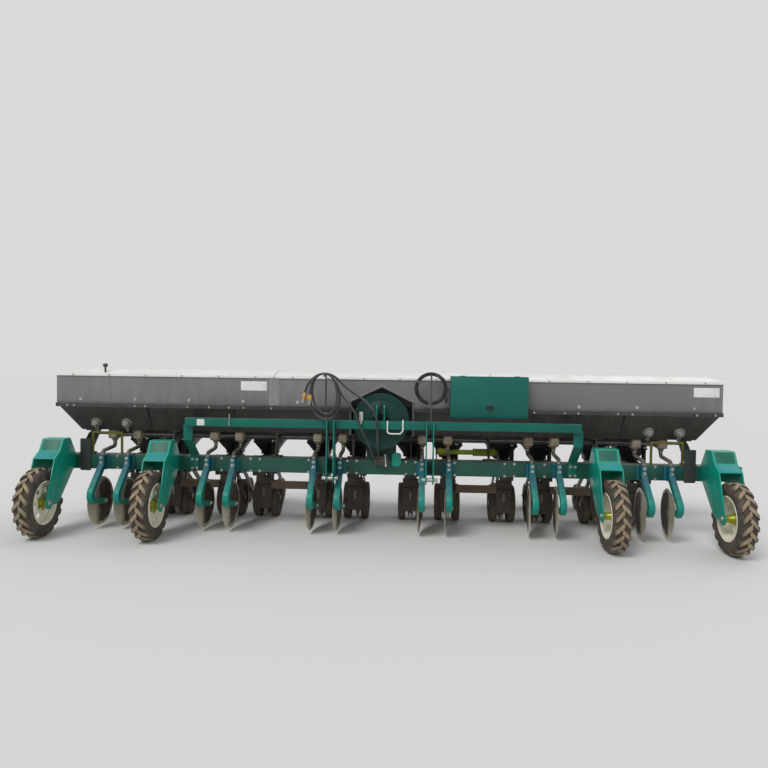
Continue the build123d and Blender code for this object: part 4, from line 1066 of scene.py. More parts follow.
# Ribs down the hopper's slopes, of the same dark enamelled steel as its ledge, and the flat strips of grey
# enamelled sheet that cover the joints where two tubs meet.
rib_places = (-2.45, 2.45, -1.55, 1.55)
rib_half = 0.020
rib_out = 0.014
rib_top = waist_z - 0.032
joint_x = 1.1
joint_half = 0.055
joint_box = (waist_z + 0.012, rim_z - 0.004)
joint_sheet = 0.003
joint_faces = (hopper_front - 0.004, hopper_rear + 0.001)
slope_ribs = []
for end, toe, out in ((hopper_front, trough_front, -rib_out), (hopper_rear, trough_rear, rib_out)):
    rib = ((end, rib_top), (end + out, rib_top), (toe + out, trough_z + 0.02), (toe, trough_z + 0.005))
    slope_ribs += [cut_plate([rib], x - rib_half, x + rib_half, "side", 0.002) for x in rib_places]
finished("slope_ribs", joined(*slope_ribs), ledge_dark)
joint_grey = weathered("grey_enamel_on_joint_strip", "#919294", "#868686", settled=0.3, splash=0.0,
                       roughness=0.45)
strips = [cut_plate([oblong(x - joint_half, x + joint_half, *joint_box, 0.004)], y, y + joint_sheet, "front",
                    ledge_edge)
          for x in (-joint_x, joint_x)
          for y in joint_faces]
finished("joint_strips", joined(*strips), joint_grey)


# Caps of the outer meters' gearboxes: round castings that stand square on the front slope, each with a shaft
# tube down it. Cast aluminium under settled dust.
gear_places = (-3.015, -2.690, 2.702, 3.012)
gear_share = 0.70
gear_tube_share = 0.26
gear_tube_out = 0.026
slope_reach = Vector((0, trough_front - hopper_front, trough_z - waist_z))
slope_out = Vector((0, slope_reach.z, -slope_reach.y)).normalized()
gear_cap = turned(((0.0, 0.0), (0.0, 0.052), (0.004, 0.056), (0.010, 0.056), (0.013, 0.045), (0.044, 0.042),
                   (0.048, 0.038), (0.050, 0.022), (0.066, 0.020), (0.069, 0.016), (0.069, 0.0)), 32)
gear_turn = slope_out.to_track_quat("X", "Z").to_matrix().to_4x4()
gears = []
for x in gear_places:
    seat = Vector((x, hopper_front, waist_z)) + slope_reach * gear_share + slope_out * 0.0010
    tube_start = seat + slope_out * gear_tube_out
    gears += [moved(gear_cap, Matrix.Translation(seat), gear_turn),
              rod(tube_start, tube_start + slope_reach * gear_tube_share, 0.021, 20)]
gear_silver = weathered("dusty_cast_aluminium_gearbox", "#A9A59C", "#8C877D", settled=0.4, splash=0.1,
                        roughness=0.5, metallic=0.5, patch=0.06)
finished("outer_gearbox_caps", joined(*gears), gear_silver)


# Bolts along the bottom of the panels, on the joint strips and under the ledge, and two blank
# white plates of enamelled sheet. The bolts are bright zinc on washers.
panel_head = (0.026, 0.012, 0.004)
strip_head = (0.013, 0.008, 0.003)
ledge_head = (0.016, 0.009, 0.003)
panel_places = (-3.122, -2.551, -1.985, -1.423, -0.86, 0.86, 1.42, 1.974, 2.544, 3.099)
strip_places = (-1.135, -1.065, 1.065, 1.135)
strip_heights = (waist_z + 0.05, (waist_z + rim_z) / 2, rim_z - 0.03)
ledge_places = (-3.255, -3.185, -2.545, -2.435, -1.994, -1.769, -1.563, -1.413, -1.127, 1.529, 1.829, 1.964,
                2.353, 2.495, 3.124, 3.302)
panel_bolt_z = waist_z + 0.048
ledge_bolt_z = waist_z - 0.016
ledge_bolt_y = hopper_front - 0.0247
label_boxes = ((-1.446, -1.178, 1.432, 1.526), (3.095, 3.345, 1.432, 1.526))
panel_bolts = []
for face, sign, turn in ((hopper_front, -1, to_front), (hopper_rear, 1, to_front.inverted())):
    y = face + sign * seat_gap
    strip_y = y + sign * 0.0035
    panel_bolts += [moved(hex_bolt(panel_head), at(x, y, panel_bolt_z), turn) for x in panel_places]
    panel_bolts += [moved(hex_bolt(strip_head), at(x, strip_y, z), turn)
                    for x in strip_places
                    for z in strip_heights]
panel_bolts += [moved(hex_bolt(ledge_head), at(x, ledge_bolt_y, ledge_bolt_z), to_front)
                for x in ledge_places]
finished("panel_bolts", joined(*panel_bolts), zinc)
labels = [plate_on(hopper_front, box, 0.004, 0.0014, 0.0002, 0.0003) for box in label_boxes]
finished("blank_label_plates", joined(*labels), white)


# Lids: hipped covers of moulded glass fibre, white, with a screw in the skirt every 370 mm and a turned
# handle on the left lid. Dust has settled thinly on their upper faces.
lid_head = (0.013, 0.006, 0.003)
screw_pitch = 0.37
handle_place = (-2.888, hopper_front + 0.050, 1.630)
lid_white = weathered("moulded_white_glass_fibre", "#EFEFEC", "#E4E3DD", settled=0.22, splash=0.0,
                      roughness=0.32, patch=0.5, grain=0.004, coat=0.3)
for part in ("left", "centre", "right"):
    dress(f"lid_{part}", lid_white, 0.003)
    low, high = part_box(f"lid_{part}")
    count = round((high.x - low.x) / screw_pitch)
    step = (high.x - low.x) / count
    screws = [moved(hex_bolt(lid_head), at(low.x + (number + 0.5) * step, low.y - 0.0002, low.z + 0.012),
                    to_front)
              for number in range(count)]
    finished(f"lid_screws_{part}", joined(*screws), zinc, f"hopper_lid_{part}")
handle = turned(((-0.060, 0.0), (-0.060, 0.010), (0.020, 0.010), (0.026, 0.022), (0.044, 0.026),
                 (0.056, 0.020), (0.060, 0.008), (0.060, 0.0)), 20)
handle = moved(handle, at(*handle_place), turn_about("Y", -90))
finished("lid_handle", handle, ledge_dark, "hopper_lid_left")


# Under the hopper's ends: dark plates from the toolbar's front face up to the trough, painted shade for the
# dark gap seen through the olive brackets, and olive brackets of bent strip round the outer meters
end_box = (3.030, 3.145)
end_web_x = 3.086
end_web_half = 0.004
end_plate_low, end_plate_high = 0.572, 0.905
# The end plates are painted shade: a dark sheet set where the gap behind the outer meters is in shadow.
end_painted_shade = weathered("painted_shade_on_end_plate", "#2E3431", "#3A3D39", settled=0.4, splash=0.4, roughness=0.6)
end_web = ((bar_front - 0.001, bar_top + 0.002), (bar_front + 0.050, bar_top + 0.002),
           (trough_front + 0.05, 0.935), (trough_front + 0.02, trough_z - 0.002), (bar_front + 0.060, 0.955),
           (bar_front - 0.001, 0.900))
end_parts = []
for side in both:
    low, high = sorted(side * x for x in end_box)
    middle = side * end_web_x
    end_parts += [plate_on(bar_front, (low, high, end_plate_low, end_plate_high), 0.012, 0.0065, edge=0.001),
                  cut_plate([end_web], middle - end_web_half, middle + end_web_half, "side", 0.001)]
finished("painted_shade_end_plates", joined(*end_parts), end_painted_shade)
bracket_x = 2.865
bracket_half = 0.165
bracket_inner = 0.143
bracket_top = 0.980
bracket_under = 0.958
bracket_foot = bar_top + seat_gap
bracket = ((-bracket_half, bracket_foot), (-bracket_half, bracket_top), (bracket_half, bracket_top),
           (bracket_half, bracket_foot), (bracket_inner, bracket_foot), (bracket_inner, bracket_under),
           (-bracket_inner, bracket_under), (-bracket_inner, bracket_foot))
bracket = cut_plate([bracket], bar_front + 0.010, bar_front + 0.026, "front", 0.001)
olive_zinc = weathered("olive_passivated_zinc", "#5E5B2C", "#6A6433", settled=0.4, splash=0.1, roughness=0.45,
                       metallic=0.4)
brackets = [moved(bracket, at(side * bracket_x, 0, 0)) for side in both]
finished("outer_meter_brackets", joined(*brackets), olive_zinc)


# Stands of the hopper: welded steel plates between toolbar and trough, in dark enamel under settled dust.
# They keep their CAD shapes.
stand_dark = weathered("dark_enamel_on_stand_plate", "#35332F", "#433F39", settled=0.6, splash=0.3,
                       roughness=0.55)
dress("hopper_supports", stand_dark)


# Fertiliser meters: die-cast boxes under the trough, on one driven shaft each side, with a round cover and a
# spout. Dusty beige grey castings with zinc screws; the shaft is plain steel.
meter_head = (0.011, 0.006, 0.0)
meter_y = bar_y + 0.165
meter_z = 0.935
meter_half = 0.045
meter_bottom = 0.885
meter_hub_half = meter_half + 0.010
meter_screw_half = 0.026
shaft_from = 0.372
shaft_to = 3.112
cast = weathered("dusty_die_cast_meter", "#AB9D87", "#8F8371", settled=0.6, splash=0.2, roughness=0.7,
                 patch=0.06, grain=0.002, relief=0.0008)
body = cut_plate([oblong(meter_y - 0.065, meter_y + 0.065, 0.886, 0.9845, 0.018)], -meter_half, meter_half,
                 "side", 0.005)
cover = turned(((0.0, 0.0), (0.0, 0.040), (-0.003, 0.044), (-0.009, 0.044), (-0.009, 0.0)), 32)
cover = moved(cover, at(0, meter_y - 0.0655, meter_z), to_front, at(0.009, 0, 0))
spout = turned(((0.0, 0.0), (0.0, 0.036), (0.004, 0.038), (0.008, 0.031), (0.0215, 0.030), (0.0215, 0.0)), 32)
to_ground = turn_about("Y", 90)
spout = moved(spout, at(0, meter_y, meter_bottom), to_ground)
meter_hub = rod((-meter_hub_half, meter_y, meter_z), (meter_hub_half, meter_y, meter_z), 0.026, 24)
finished("meter_castings", for_openers(joined(body, cover, spout, meter_hub), cast), cast,
         replaces=("fertiliser_meters",))
meter_steel = weathered("plain_shaft_steel", "#8E8A84", "#6C655D", settled=0.4, splash=0.1, roughness=0.4,
                        metallic=0.8, patch=0.1)
shafts = [rod((side * shaft_from, meter_y, meter_z), (side * shaft_to, meter_y, meter_z), 0.012, 16)
          for side in both]
finished("meter_shafts", joined(*shafts), meter_steel, replaces=("fertiliser_meters",))
screw = moved(hex_bolt(meter_head), at(0, meter_y - 0.0745, meter_z), to_front)
screws = [moved(screw, at(x * meter_screw_half, 0, z * meter_screw_half)) for x in both for z in both]
finished("meter_screws", for_openers(joined(*screws), zinc), zinc)


# Fertiliser hoses: clear ribbed plastic hoses from the meters over the toolbar to the openers, gone brown
# grey with dust, held by zinc clips at both ends.
hose_start = meter_bottom - 0.0225
over_bar = bar_top + 0.064
hose_end_y = opener_y + 0.004
hose_dusty = weathered("dusty_ribbed_plastic_hose", "#57524B", "#756D62", settled=0.5, splash=0.4,
                       roughness=0.6, patch=0.1, grain=0.003)


def ribbed_tree():
    """A ribbed hose along a line of edges: rings a rib's pitch apart swell and shrink its radius."""
    tree, given = new_tree("ribbed_hose", ("Radius", "NodeSocketFloat", 0.02),
                           ("Bend", "NodeSocketFloat", 0.03), ("Rib pitch", "NodeSocketFloat", 0.008),
                           ("Rib share", "NodeSocketFloat", 0.9), ("Material", "NodeSocketMaterial", None))
    line = add(tree, "GeometryNodeMeshToCurve", {0: given["Geometry"]}).outputs[0]
    bent = add(tree, "GeometryNodeFilletCurve", {"Curve": line, "Count": 8, "Limit Radius": True,
                                                 "Radius": given["Bend"]}, mode="POLY").outputs[0]
    quarter = maths(tree, "MULTIPLY", given["Rib pitch"], 0.25)
    even = add(tree, "GeometryNodeResampleCurve", {"Curve": bent, "Length": quarter},
               mode="LENGTH").outputs[0]
    order = maths(tree, "MULTIPLY", add(tree, "GeometryNodeInputIndex").outputs[0], math.pi / 2)
    wave = ramp(tree, maths(tree, "COSINE", order), -1.0, 1.0, given["Rib share"], 1.0)
    profile = add(tree, "GeometryNodeCurvePrimitiveCircle", {"Resolution": 14, "Radius": 1.0}).outputs[0]
    tube = add(tree, "GeometryNodeCurveToMesh", {"Curve": even, "Profile Curve": profile, "Fill Caps": True,
                                                 "Scale": maths(tree, "MULTIPLY", wave, given["Radius"])})
    smooth = add(tree, "GeometryNodeSetShadeSmooth", {0: tube.outputs[0]})
    return end_real(tree, smooth, given["Material"])


ribbed_hose = ribbed_tree()


def edge_line(points):
    """A line of edges by its points."""
    mesh = bpy.data.meshes.new("line")
    mesh.from_pydata([tuple(point) for point in points], [(n, n + 1) for n in range(len(points) - 1)], [])
    return mesh


hose_line = edge_line(((0, meter_y, hose_start), (0, meter_y, over_bar), (0, hose_end_y, over_bar - 0.020),
                       (0, hose_end_y, arm_top + seat_gap)))
one_hose = run_tree(ribbed_hose, hose_line, Radius=0.020, Bend=0.032, Material=hose_dusty)
finished("ribbed_fertiliser_hoses", for_openers(one_hose, hose_dusty), hose_dusty,
         replaces=("fertiliser_hoses",))
clip = turned(((-0.006, 0.0195), (-0.006, 0.0222), (0.006, 0.0222), (0.006, 0.0195)), 24, closed=True)
clips = [moved(clip, at(0, meter_y, hose_start - 0.018), to_ground),
         moved(clip, at(0, hose_end_y, arm_top + 0.014), to_ground)]
finished("hose_clips", for_openers(joined(*clips), zinc), zinc)


# Tool box on the hopper's front: folded 5 mm sheet, flat deep green, with a door that fills its front. The
# door is blank; a black turn latch sits low in its middle.
box_green = weathered("deep_green_enamel_on_sheet", "#006257", "#005A50", settled=0.25, splash=0.0,
                      roughness=0.42, patch=0.6, coat=0.15)
dress("tool_box", box_green)
dress("tool_box_door", box_green, 0.002)
door_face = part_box("tool_box_door")[0].y
latch_box = (1.040, 1.112, 1.288, 1.318)
grip_box = (1.066, 1.086, 1.270, 1.322)
latch_black = weathered("black_moulded_nylon_latch", "#202224", "#2E2E2E", settled=0.2, splash=0.0,
                        roughness=0.4, patch=0.05)
latch = joined(plate_on(door_face, latch_box, 0.012, 0.012, 0.0002, 0.003),
               plate_on(door_face, grip_box, 0.008, 0.022, 0.0115, 0.003))
finished("door_latch", latch, latch_black, "box_door")


# Small machined pieces on the toolbar: axle bolts, lower hitch pins with their linch pins, the valve block
# with its ports and lever, and the yellow guard round the cross shaft of the meter drive.
axle_head = (0.038, 0.0137, 0.003)
valve_head = (0.026, 0.010, 0.0)
fork_half = 0.111
axle = joined(rod((-fork_half, axle_y, tyre_radius), (fork_half, axle_y, tyre_radius), 0.0125, 20),
              *[moved(hex_bolt(axle_head), at(side * (fork_half + 0.0003), axle_y, tyre_radius), facing(side))
                for side in (1, -1)])
axles = [moved(axle, at(place, 0, 0)) for place in wheel_places]
finished("axle_bolts", joined(*axles), zinc, replaces=("fittings",))
pin_y = bar_y - 0.370
pin_z = 0.595
pin_radius = 0.0183
pin_collar = 0.0403
pin_outline = ((-0.079, 0.0), (-0.079, 0.014), (-0.075, pin_radius), (pin_collar, pin_radius),
               (pin_collar, 0.0232), (pin_collar + 0.0008, 0.024), (pin_collar + 0.0052, 0.024),
               (pin_collar + 0.006, 0.0232), (pin_collar + 0.006, pin_radius),
               (pin_collar + 0.0372, pin_radius), (pin_collar + 0.040, 0.0155), (pin_collar + 0.040, 0.0))
linch = moved(ring(0.017, 0.002, 24), at(-0.064, -0.004, 0.006), turn_about("Z", 80))
pin = joined(turned(pin_outline, 32), linch)
pins = [moved(pin, at(side * mast_x, pin_y, pin_z), facing(side)) for side in both]
finished("lower_hitch_pins", joined(*pins), zinc, replaces=("fittings",))

valve_front = bar_front - 0.0603
port_face = valve_front + 0.0002
shield_box = (0.108, 0.204, 0.680, 0.818)
port_z = 0.765
port_places = (-0.020, -0.060)
nut_z = 0.712
nut_places = (-0.045, 0.0, 0.045)
knob_spot = (0.050, valve_front - 0.020, 0.694)
valve = cut_plate([oblong(-0.075, 0.075, 0.695, 0.785, 0.006)], valve_front, bar_front - 0.0003, "front",
                  0.004)
valve_top = cut_plate([oblong(0.010, 0.066, valve_front + 0.008, bar_front - 0.008, 0.006)], 0.7845, 0.803,
                      "top", 0.003)
port = moved(turned(((0.0, 0.0), (0.0, 0.013), (0.003, 0.014), (0.0106, 0.014), (0.0106, 0.0)), 24), to_front)
ports = [moved(port, at(x, port_face, port_z)) for x in port_places]
nuts = [moved(hex_bolt(valve_head), at(x, port_face, nut_z), to_front) for x in nut_places]
valve_iron = weathered("phosphated_cast_valve_iron", "#4A4744", "#6A635A", settled=0.5, splash=0.4,
                       roughness=0.5, metallic=0.5, patch=0.05)
finished("valve_block", joined(valve, valve_top, *ports, *nuts), valve_iron, replaces=("fittings",))
lever = bent_rod(((0.040, valve_front + 0.020, 0.800), (0.040, valve_front - 0.004, 0.815),
                  (0.046, valve_front - 0.016, 0.745), (0.050, valve_front - 0.020, 0.700)), 0.005, 0.012)
knob = turned(((-0.011, 0.0), (-0.010, 0.005), (-0.005, 0.010), (0.004, 0.011), (0.010, 0.006), (0.011, 0.0)),
              16)
finished("valve_lever", joined(lever, moved(knob, at(*knob_spot), to_ground)), white)
finished("bright_green_shield", plate_on(bar_front, shield_box, 0.030, 0.0125, edge=0.003),
         fork_green)

guard_y = bar_y + 0.240
guard_z = 0.795
rib_pitch = 0.026
cone_end = 0.008
sleeve_x, sleeve_length = 0.560, 0.655
bearing_places = (0.560, 1.203)
cone_spans = ((0.586, 0.690), (0.955, 1.189))
bearing_sheet = 0.012
guard_yellow = weathered("moulded_yellow_guard", "#A9B52B", "#8F9A2C", settled=0.45, splash=0.3,
                         splash_top=1.2, roughness=0.5, patch=0.1)
cones = []
for start, end in cone_spans:
    length = end - start
    outline = [(0.0, 0.027), (0.0, 0.036), (0.004, 0.041)]
    count = max(3, round(length / rib_pitch))
    step = (length - 2 * cone_end) / count
    for number in range(count):
        x = cone_end + number * step
        outline += [(x, 0.042), (x + 0.35 * step, 0.042), (x + 0.5 * step, 0.0365), (x + 0.85 * step, 0.0365)]
    outline += [(length - 0.004, 0.041), (length, 0.036), (length, 0.027)]
    cones.append(moved(turned(outline, 32, closed=True), at(start, guard_y, guard_z)))
sleeve = turned(((0.0, 0.024), (0.0, 0.026), (sleeve_length, 0.026), (sleeve_length, 0.024)), 32, closed=True)
finished("cross_shaft_guard", joined(moved(sleeve, at(sleeve_x, guard_y, guard_z)), *cones), guard_yellow,
         replaces=("fittings",))
bearing = ((bar_y, bar_top + 0.0003), (bar_rear, bar_top + 0.0003), (guard_y + 0.030, guard_z - 0.020),
           (guard_y + 0.026, guard_z + 0.026), (guard_y - 0.026, guard_z + 0.026))
bearings = [cut_plate([bearing], x, x + bearing_sheet, "side") for x in bearing_places]
finished("cross_shaft_bearings", joined(*bearings), stand_dark, replaces=("fittings",))


# Rows: each has a bracket behind the toolbar, two parallel links and a frame of two side plates back to the
# press wheel, with a clod shield ahead of its discs. Dusty dark grey enamel, zinc pins and black springs.
pivot_head = (0.024, 0.012, 0.003)
row_head = (0.020, 0.012, 0.003)
row_dark = weathered("dusty_dark_grey_enamel", "#443F3B", "#544C44", settled=0.55, splash=0.4, splash_top=0.8,
                     roughness=0.55, patch=0.12)
dress("row_links", row_dark)
dress("row_frames", row_dark)
link_heights = (0.690, 0.560)
link_drop = 0.040
link_front = bar_y + 0.120
link_rear = bar_y + 0.410
fold_front = bar_y + 0.3195
strip_front = bar_y + 0.3165
tube_half = 0.2145
tube_places = (-2.0, -1.0, 1.0, 2.0)
spring_places = (-0.020, 0.020)
tube_outline = oblong(bar_y + 0.290, bar_y + 0.335, 0.350, 0.432, 0.008)
fold = cut_plate([oblong(-0.080, 0.080, 0.382, 0.395, 0.002)], fold_front, fold_front + 0.007, "front", 0.001)
strip = cut_plate([oblong(-0.013, 0.013, 0.256, 0.344, 0.004)], strip_front, strip_front + 0.002, "front",
                  0.0005)
shield_dark = weathered("dark_enamel_on_shield_fold", "#262320", "#332F2B", settled=0.3, splash=0.2,
                        roughness=0.6)
finished("shield_folds", for_rows(fold, shield_dark), shield_dark)
shield_worn = weathered("worn_steel_strip_on_shield", "#8E8474", "#75695B", settled=0.3, splash=0.3,
                        roughness=0.5)
finished("shield_strips", for_rows(strip, shield_worn), shield_worn)
tube_brown = weathered("earthy_enamel_on_cross_tube", "#6B5C4D", "#7F705F", settled=0.8, splash=0.4,
                       roughness=0.75)
tubes = [cut_plate([tube_outline], middle - tube_half, middle + tube_half, "side", 0.001)
         for middle in tube_places]
finished("row_cross_tubes", joined(*tubes), tube_brown)
frame_side = 0.0562
row_bolts = []
for z in link_heights:
    for side in both:
        row_bolts += [moved(hex_bolt(pivot_head), at(side * 0.0395, link_front, z), facing(side)),
                      moved(hex_bolt(pivot_head), at(side * frame_side, link_rear, z - link_drop),
                            facing(side))]
row_bolts += [moved(hex_bolt(row_head), at(x, bar_front - seat_gap, z), to_front)
              for x in (-0.048, 0.048) for z in (bar_bottom + 0.012, bar_top - 0.014)]
finished("row_pivot_bolts", for_rows(joined(*row_bolts), zinc), zinc)
spring_dark = weathered("black_enamel_on_spring_wire", "#25262A", "#33312F", settled=0.4, splash=0.3,
                        roughness=0.45, patch=0.05)


def spring_mesh(start, end, radius, wire, turns):
    """A coil spring between two places, its wire swept round a helix."""
    start, end = Vector(start), Vector(end)
    line = end - start
    frame_turn = line.to_track_quat("Z", "Y").to_matrix()
    steps = turns * 14
    points = []
    for step in range(steps + 1):
        angle = 2 * math.pi * turns * step / steps
        spot = Vector((radius * math.cos(angle), radius * math.sin(angle), line.length * step / steps))
        points.append(start + frame_turn @ spot)
    return wire_mesh(points, wire, 1)


springs = [spring_mesh((x, link_front + 0.050, 0.688), (x, link_rear - 0.050, 0.532), 0.015, 0.0035, 11)
           for x in spring_places]
finished("down_pressure_springs", for_rows(joined(*springs), spring_dark), spring_dark)


# Gauge wheels: a pair on each row, each a flat rubber tyre round a pressed dish with a hub cap. Press wheels:
# one behind each row, a rounded rubber tyre on a narrow dish.
gauge_head = (0.026, 0.005, 0.001)
gauge_y = bar_y + 0.555
gauge_z = 0.200
gauge_middle = 0.096
press_y = bar_y + 1.250
press_z = 0.150
row_places = [(number - 2.5) * row_pitch + side * row_spread
              for number in range(ridge_count)
              for side in both]
gauge_rubber = weathered("dusty_gauge_wheel_rubber", "#4C443D", "#685C4F", settled=0.3, splash=0.7,
                         splash_top=0.5, roughness=0.85, patch=0.08, grain=0.004, relief=0.0008)
gauge_paint = weathered("dark_enamel_on_wheel_dish", "#4A4540", "#5C544B", settled=0.3, splash=0.5,
                        splash_top=0.5, roughness=0.55, patch=0.06)
# Half of each tyre's tread, from bead to crown. Columns: from the middle, radius
gauge_side = ((0.039, 0.140), (0.039, 0.186), (0.036, 0.1935), (0.029, 0.1980), (0.015, 0.1997),
              (0.0, 0.1999))
press_side = ((0.037, 0.092), (0.037, 0.130), (0.033, 0.141), (0.022, 0.148), (0.008, 0.1497), (0.0, 0.1499))
gauge_tyre = turned(mirrored(gauge_side) + ((-0.034, 0.136), (0.034, 0.136)), 64, closed=True)
gauge_dish = turned(((0.036, 0.138), (0.016, 0.130), (0.013, 0.122), (0.013, 0.066), (0.020, 0.056),
                     (0.036, 0.046), (0.039, 0.040), (0.039, 0.0151), (-0.039, 0.0151), (-0.039, 0.046),
                     (-0.037, 0.050), (-0.020, 0.056), (-0.004, 0.066), (-0.004, 0.122), (-0.030, 0.138)), 48,
                    closed=True)
press_tyre = turned(mirrored(press_side) + ((-0.033, 0.089), (0.033, 0.089)), 56, closed=True)
dish_side = ((0.034, 0.0905), (0.012, 0.086), (0.0095, 0.080), (0.0095, 0.040), (0.016, 0.034),
             (0.034, 0.033), (0.037, 0.029), (0.037, 0.0101))
press_dish = turned(dish_side + tuple((-x, radius) for x, radius in reversed(dish_side)), 40, closed=True)
for number, place in enumerate(row_places, 1):
    spots = [(at(place + side * gauge_middle, gauge_y, gauge_z), facing(side)) for side in both]
    tyres = joined(*[moved(gauge_tyre, spot) for spot, _ in spots])
    dishes = joined(*[moved(gauge_dish, spot, turn) for spot, turn in spots])
    wheel_body = f"gauge_wheel_pair_{number:02d}"
    finished(f"gauge_tyres_{number:02d}", tyres, gauge_rubber, wheel_body, (f"gauge_wheels_{number:02d}",))
    finished(f"gauge_dishes_{number:02d}", dishes, gauge_paint, wheel_body)
for number, place in enumerate(row_places, 1):
    spot = at(place, press_y, press_z)
    wheel_body = f"press_wheel_body_{number:02d}"
    finished(f"press_tyre_{number:02d}", moved(press_tyre, spot), gauge_rubber, wheel_body,
             (f"press_wheel_{number:02d}",))
    finished(f"press_dish_{number:02d}", moved(press_dish, spot), gauge_paint, wheel_body)
wheel_nuts = []
for side in both:
    wheel_nuts += [moved(hex_bolt(pivot_head), at(side * frame_side, press_y, press_z), facing(side)),
                   moved(hex_bolt(gauge_head), at(side * (gauge_middle + 0.0392), gauge_y, gauge_z),
                         facing(side))]
finished("row_wheel_nuts", for_rows(joined(*wheel_nuts), zinc), zinc)


# Seed boxes: hoppers on the rows, moulded in black polyethylene with ribs and a rolled waist, each under a
# moulded lid of grey plastic, dusty on top.
box_front = bar_y + 0.485
box_rear = bar_y + 0.815
box_waist = 0.830
box_top = 1.045
box_half = 0.165
rib_rise = 0.010
rib_sheet_half = 0.006
box_rib_places = (-0.09, 0.0, 0.09)
# Sections of the box and its lid. Columns: height, how far outside the box's walls
box_sections = ((box_waist - 0.010, -0.010), (box_waist - 0.006, 0.0), (box_waist + 0.010, 0.0),
                (box_waist + 0.014, -0.005), (box_top - 0.016, -0.001), (box_top - 0.012, 0.0),
                (box_top, 0.0))
lid_sections = ((box_top, 0.010), (box_top + 0.018, 0.010), (box_top + 0.024, 0.005),
                (box_top + 0.024, -0.025), (box_top + 0.028, -0.031))


def box_shape(sections):
    """Sections of a seed box or its lid, for lofting."""
    return tuple((z, box_half + out, box_front - out, box_rear + out) for z, out in sections)


neck = box_half * 0.55
middle_y = (box_front + box_rear) / 2
necks = tuple((z, neck, middle_y - neck, middle_y + neck) for z in (0.6905, 0.722))
box_ribs = []


def lofted(sections, corner):
    """A closed moulded shape through round-cornered oblong sections, as (z, half width, front, rear)."""
    shape = bmesh.new()
    bridge(shape, [ring_of(shape, [(x, y, z) for x, y in oblong(-half, half, front, rear, corner)])
                   for z, half, front, rear in sections], capped=True)
    return closed_mesh(shape)


for x in box_rib_places:
    for front, rear in ((box_front + seat_gap, box_front + rib_rise),
                        (box_rear - rib_rise, box_rear - seat_gap)):
        rib = lofted(((box_waist + 0.012, rib_sheet_half, front, rear),
                      (box_top - 0.014, rib_sheet_half, front, rear)), 0.002)
        box_ribs.append(moved(rib, at(x, 0, 0)))
box_plastic = weathered("moulded_black_polyethylene", "#232425", "#2F2F2F", settled=0.5, splash=0.0,
                        roughness=0.5, patch=0.2, grain=0.003, relief=0.0008)
seed_box = joined(lofted(necks + box_shape(box_sections), 0.030), *box_ribs)
finished("seed_boxes", for_rows(seed_box, box_plastic), box_plastic, replaces=("seed_hoppers",))
lid_plastic = weathered("moulded_grey_lid", "#3E4042", "#4A4A49", settled=0.6, splash=0.0, roughness=0.45,
                        patch=0.15)
finished("seed_box_lids", for_rows(lofted(box_shape(lid_sections), 0.026), lid_plastic), lid_plastic,
         replaces=("seed_hoppers",))


# Seed meters: a round vacuum meter on each row's right side plate, a two-part shell of cast aluminium held by
# a ring of small zinc screws.
seed_head = (0.010, 0.005, 0.0)
seed_meter_y = bar_y + 0.600
seed_meter_z = 0.572
meter_start = 0.0563
seed_screw_count = 6
meter_outline = ((0.0, 0.0), (0.0, 0.108), (0.004, 0.112), (0.018, 0.112), (0.022, 0.107), (0.026, 0.107),
                 (0.030, 0.112), (0.040, 0.112), (0.046, 0.106), (0.050, 0.090), (0.054, 0.060),
                 (0.060, 0.052), (0.060, 0.0))
meter_grey = weathered("cast_aluminium_meter_shell", "#8B8A86", "#77736B", settled=0.5, splash=0.2,
                       roughness=0.5, metallic=0.6, patch=0.08, grain=0.002, relief=0.0005)
meter_shell = moved(turned(meter_outline, 56), at(meter_start, seed_meter_y, seed_meter_z))
finished("seed_meter_shells", for_rows(meter_shell, meter_grey), meter_grey, replaces=("seed_meters",))
seed_screw = moved(hex_bolt(seed_head), at(0.0545, 0.074, 0), Matrix.Scale(0.9, 4))
screw_spot = at(meter_start - 0.001, seed_meter_y, seed_meter_z)
screw_ring = moved(all_round(seed_screw, seed_screw_count, zinc), screw_spot)
finished("seed_meter_screws", for_rows(screw_ring, zinc), zinc)


# Vacuum line: an extruded grey plastic pipe behind the toolbar, with a ribbed black hose down to each seed
# meter, held by zinc bands at both ends.
pipe_z = 0.925
pipe_half = 2.900
tap_x = 0.0863
tap_end = seed_meter_y - 0.112 - seat_gap
pipe_grey = weathered("extruded_grey_pipe", "#5F6163", "#6E6C68", settled=0.6, splash=0.1, roughness=0.4,
                      patch=0.2)
pipe_side = ((pipe_half, 0.0), (pipe_half, 0.046), (pipe_half - 0.004, 0.050), (pipe_half - 0.040, 0.050),
             (pipe_half - 0.042, 0.0478))
pipe_outline = tuple((-x, radius) for x, radius in pipe_side) + pipe_side[::-1]
finished("vacuum_pipe", moved(turned(pipe_outline, 40), at(0, pipe_y, pipe_z)), pipe_grey,
         replaces=("vacuum_line",))
tap_line = edge_line(((tap_x, pipe_y, pipe_z - 0.040), (tap_x, pipe_y, seed_meter_z),
                      (tap_x, tap_end, seed_meter_z)))
hose_black = weathered("ribbed_black_vacuum_hose", "#26272A", "#34332F", settled=0.5, splash=0.2,
                       roughness=0.5, patch=0.1)
tap_hose = run_tree(ribbed_hose, tap_line, Radius=0.024, Bend=0.070, Material=hose_black)
finished("vacuum_hoses", for_rows(tap_hose, hose_black), hose_black, replaces=("vacuum_line",))
hose_band = turned(((-0.007, 0.0235), (-0.007, 0.0262), (0.007, 0.0262), (0.007, 0.0235)), 24, closed=True)
hose_bands = [moved(hose_band, at(tap_x, pipe_y, pipe_z - 0.062), to_ground),
              moved(hose_band, at(tap_x, tap_end - 0.012, seed_meter_z), to_front)]
finished("vacuum_hose_bands", for_rows(joined(*hose_bands), zinc), zinc)


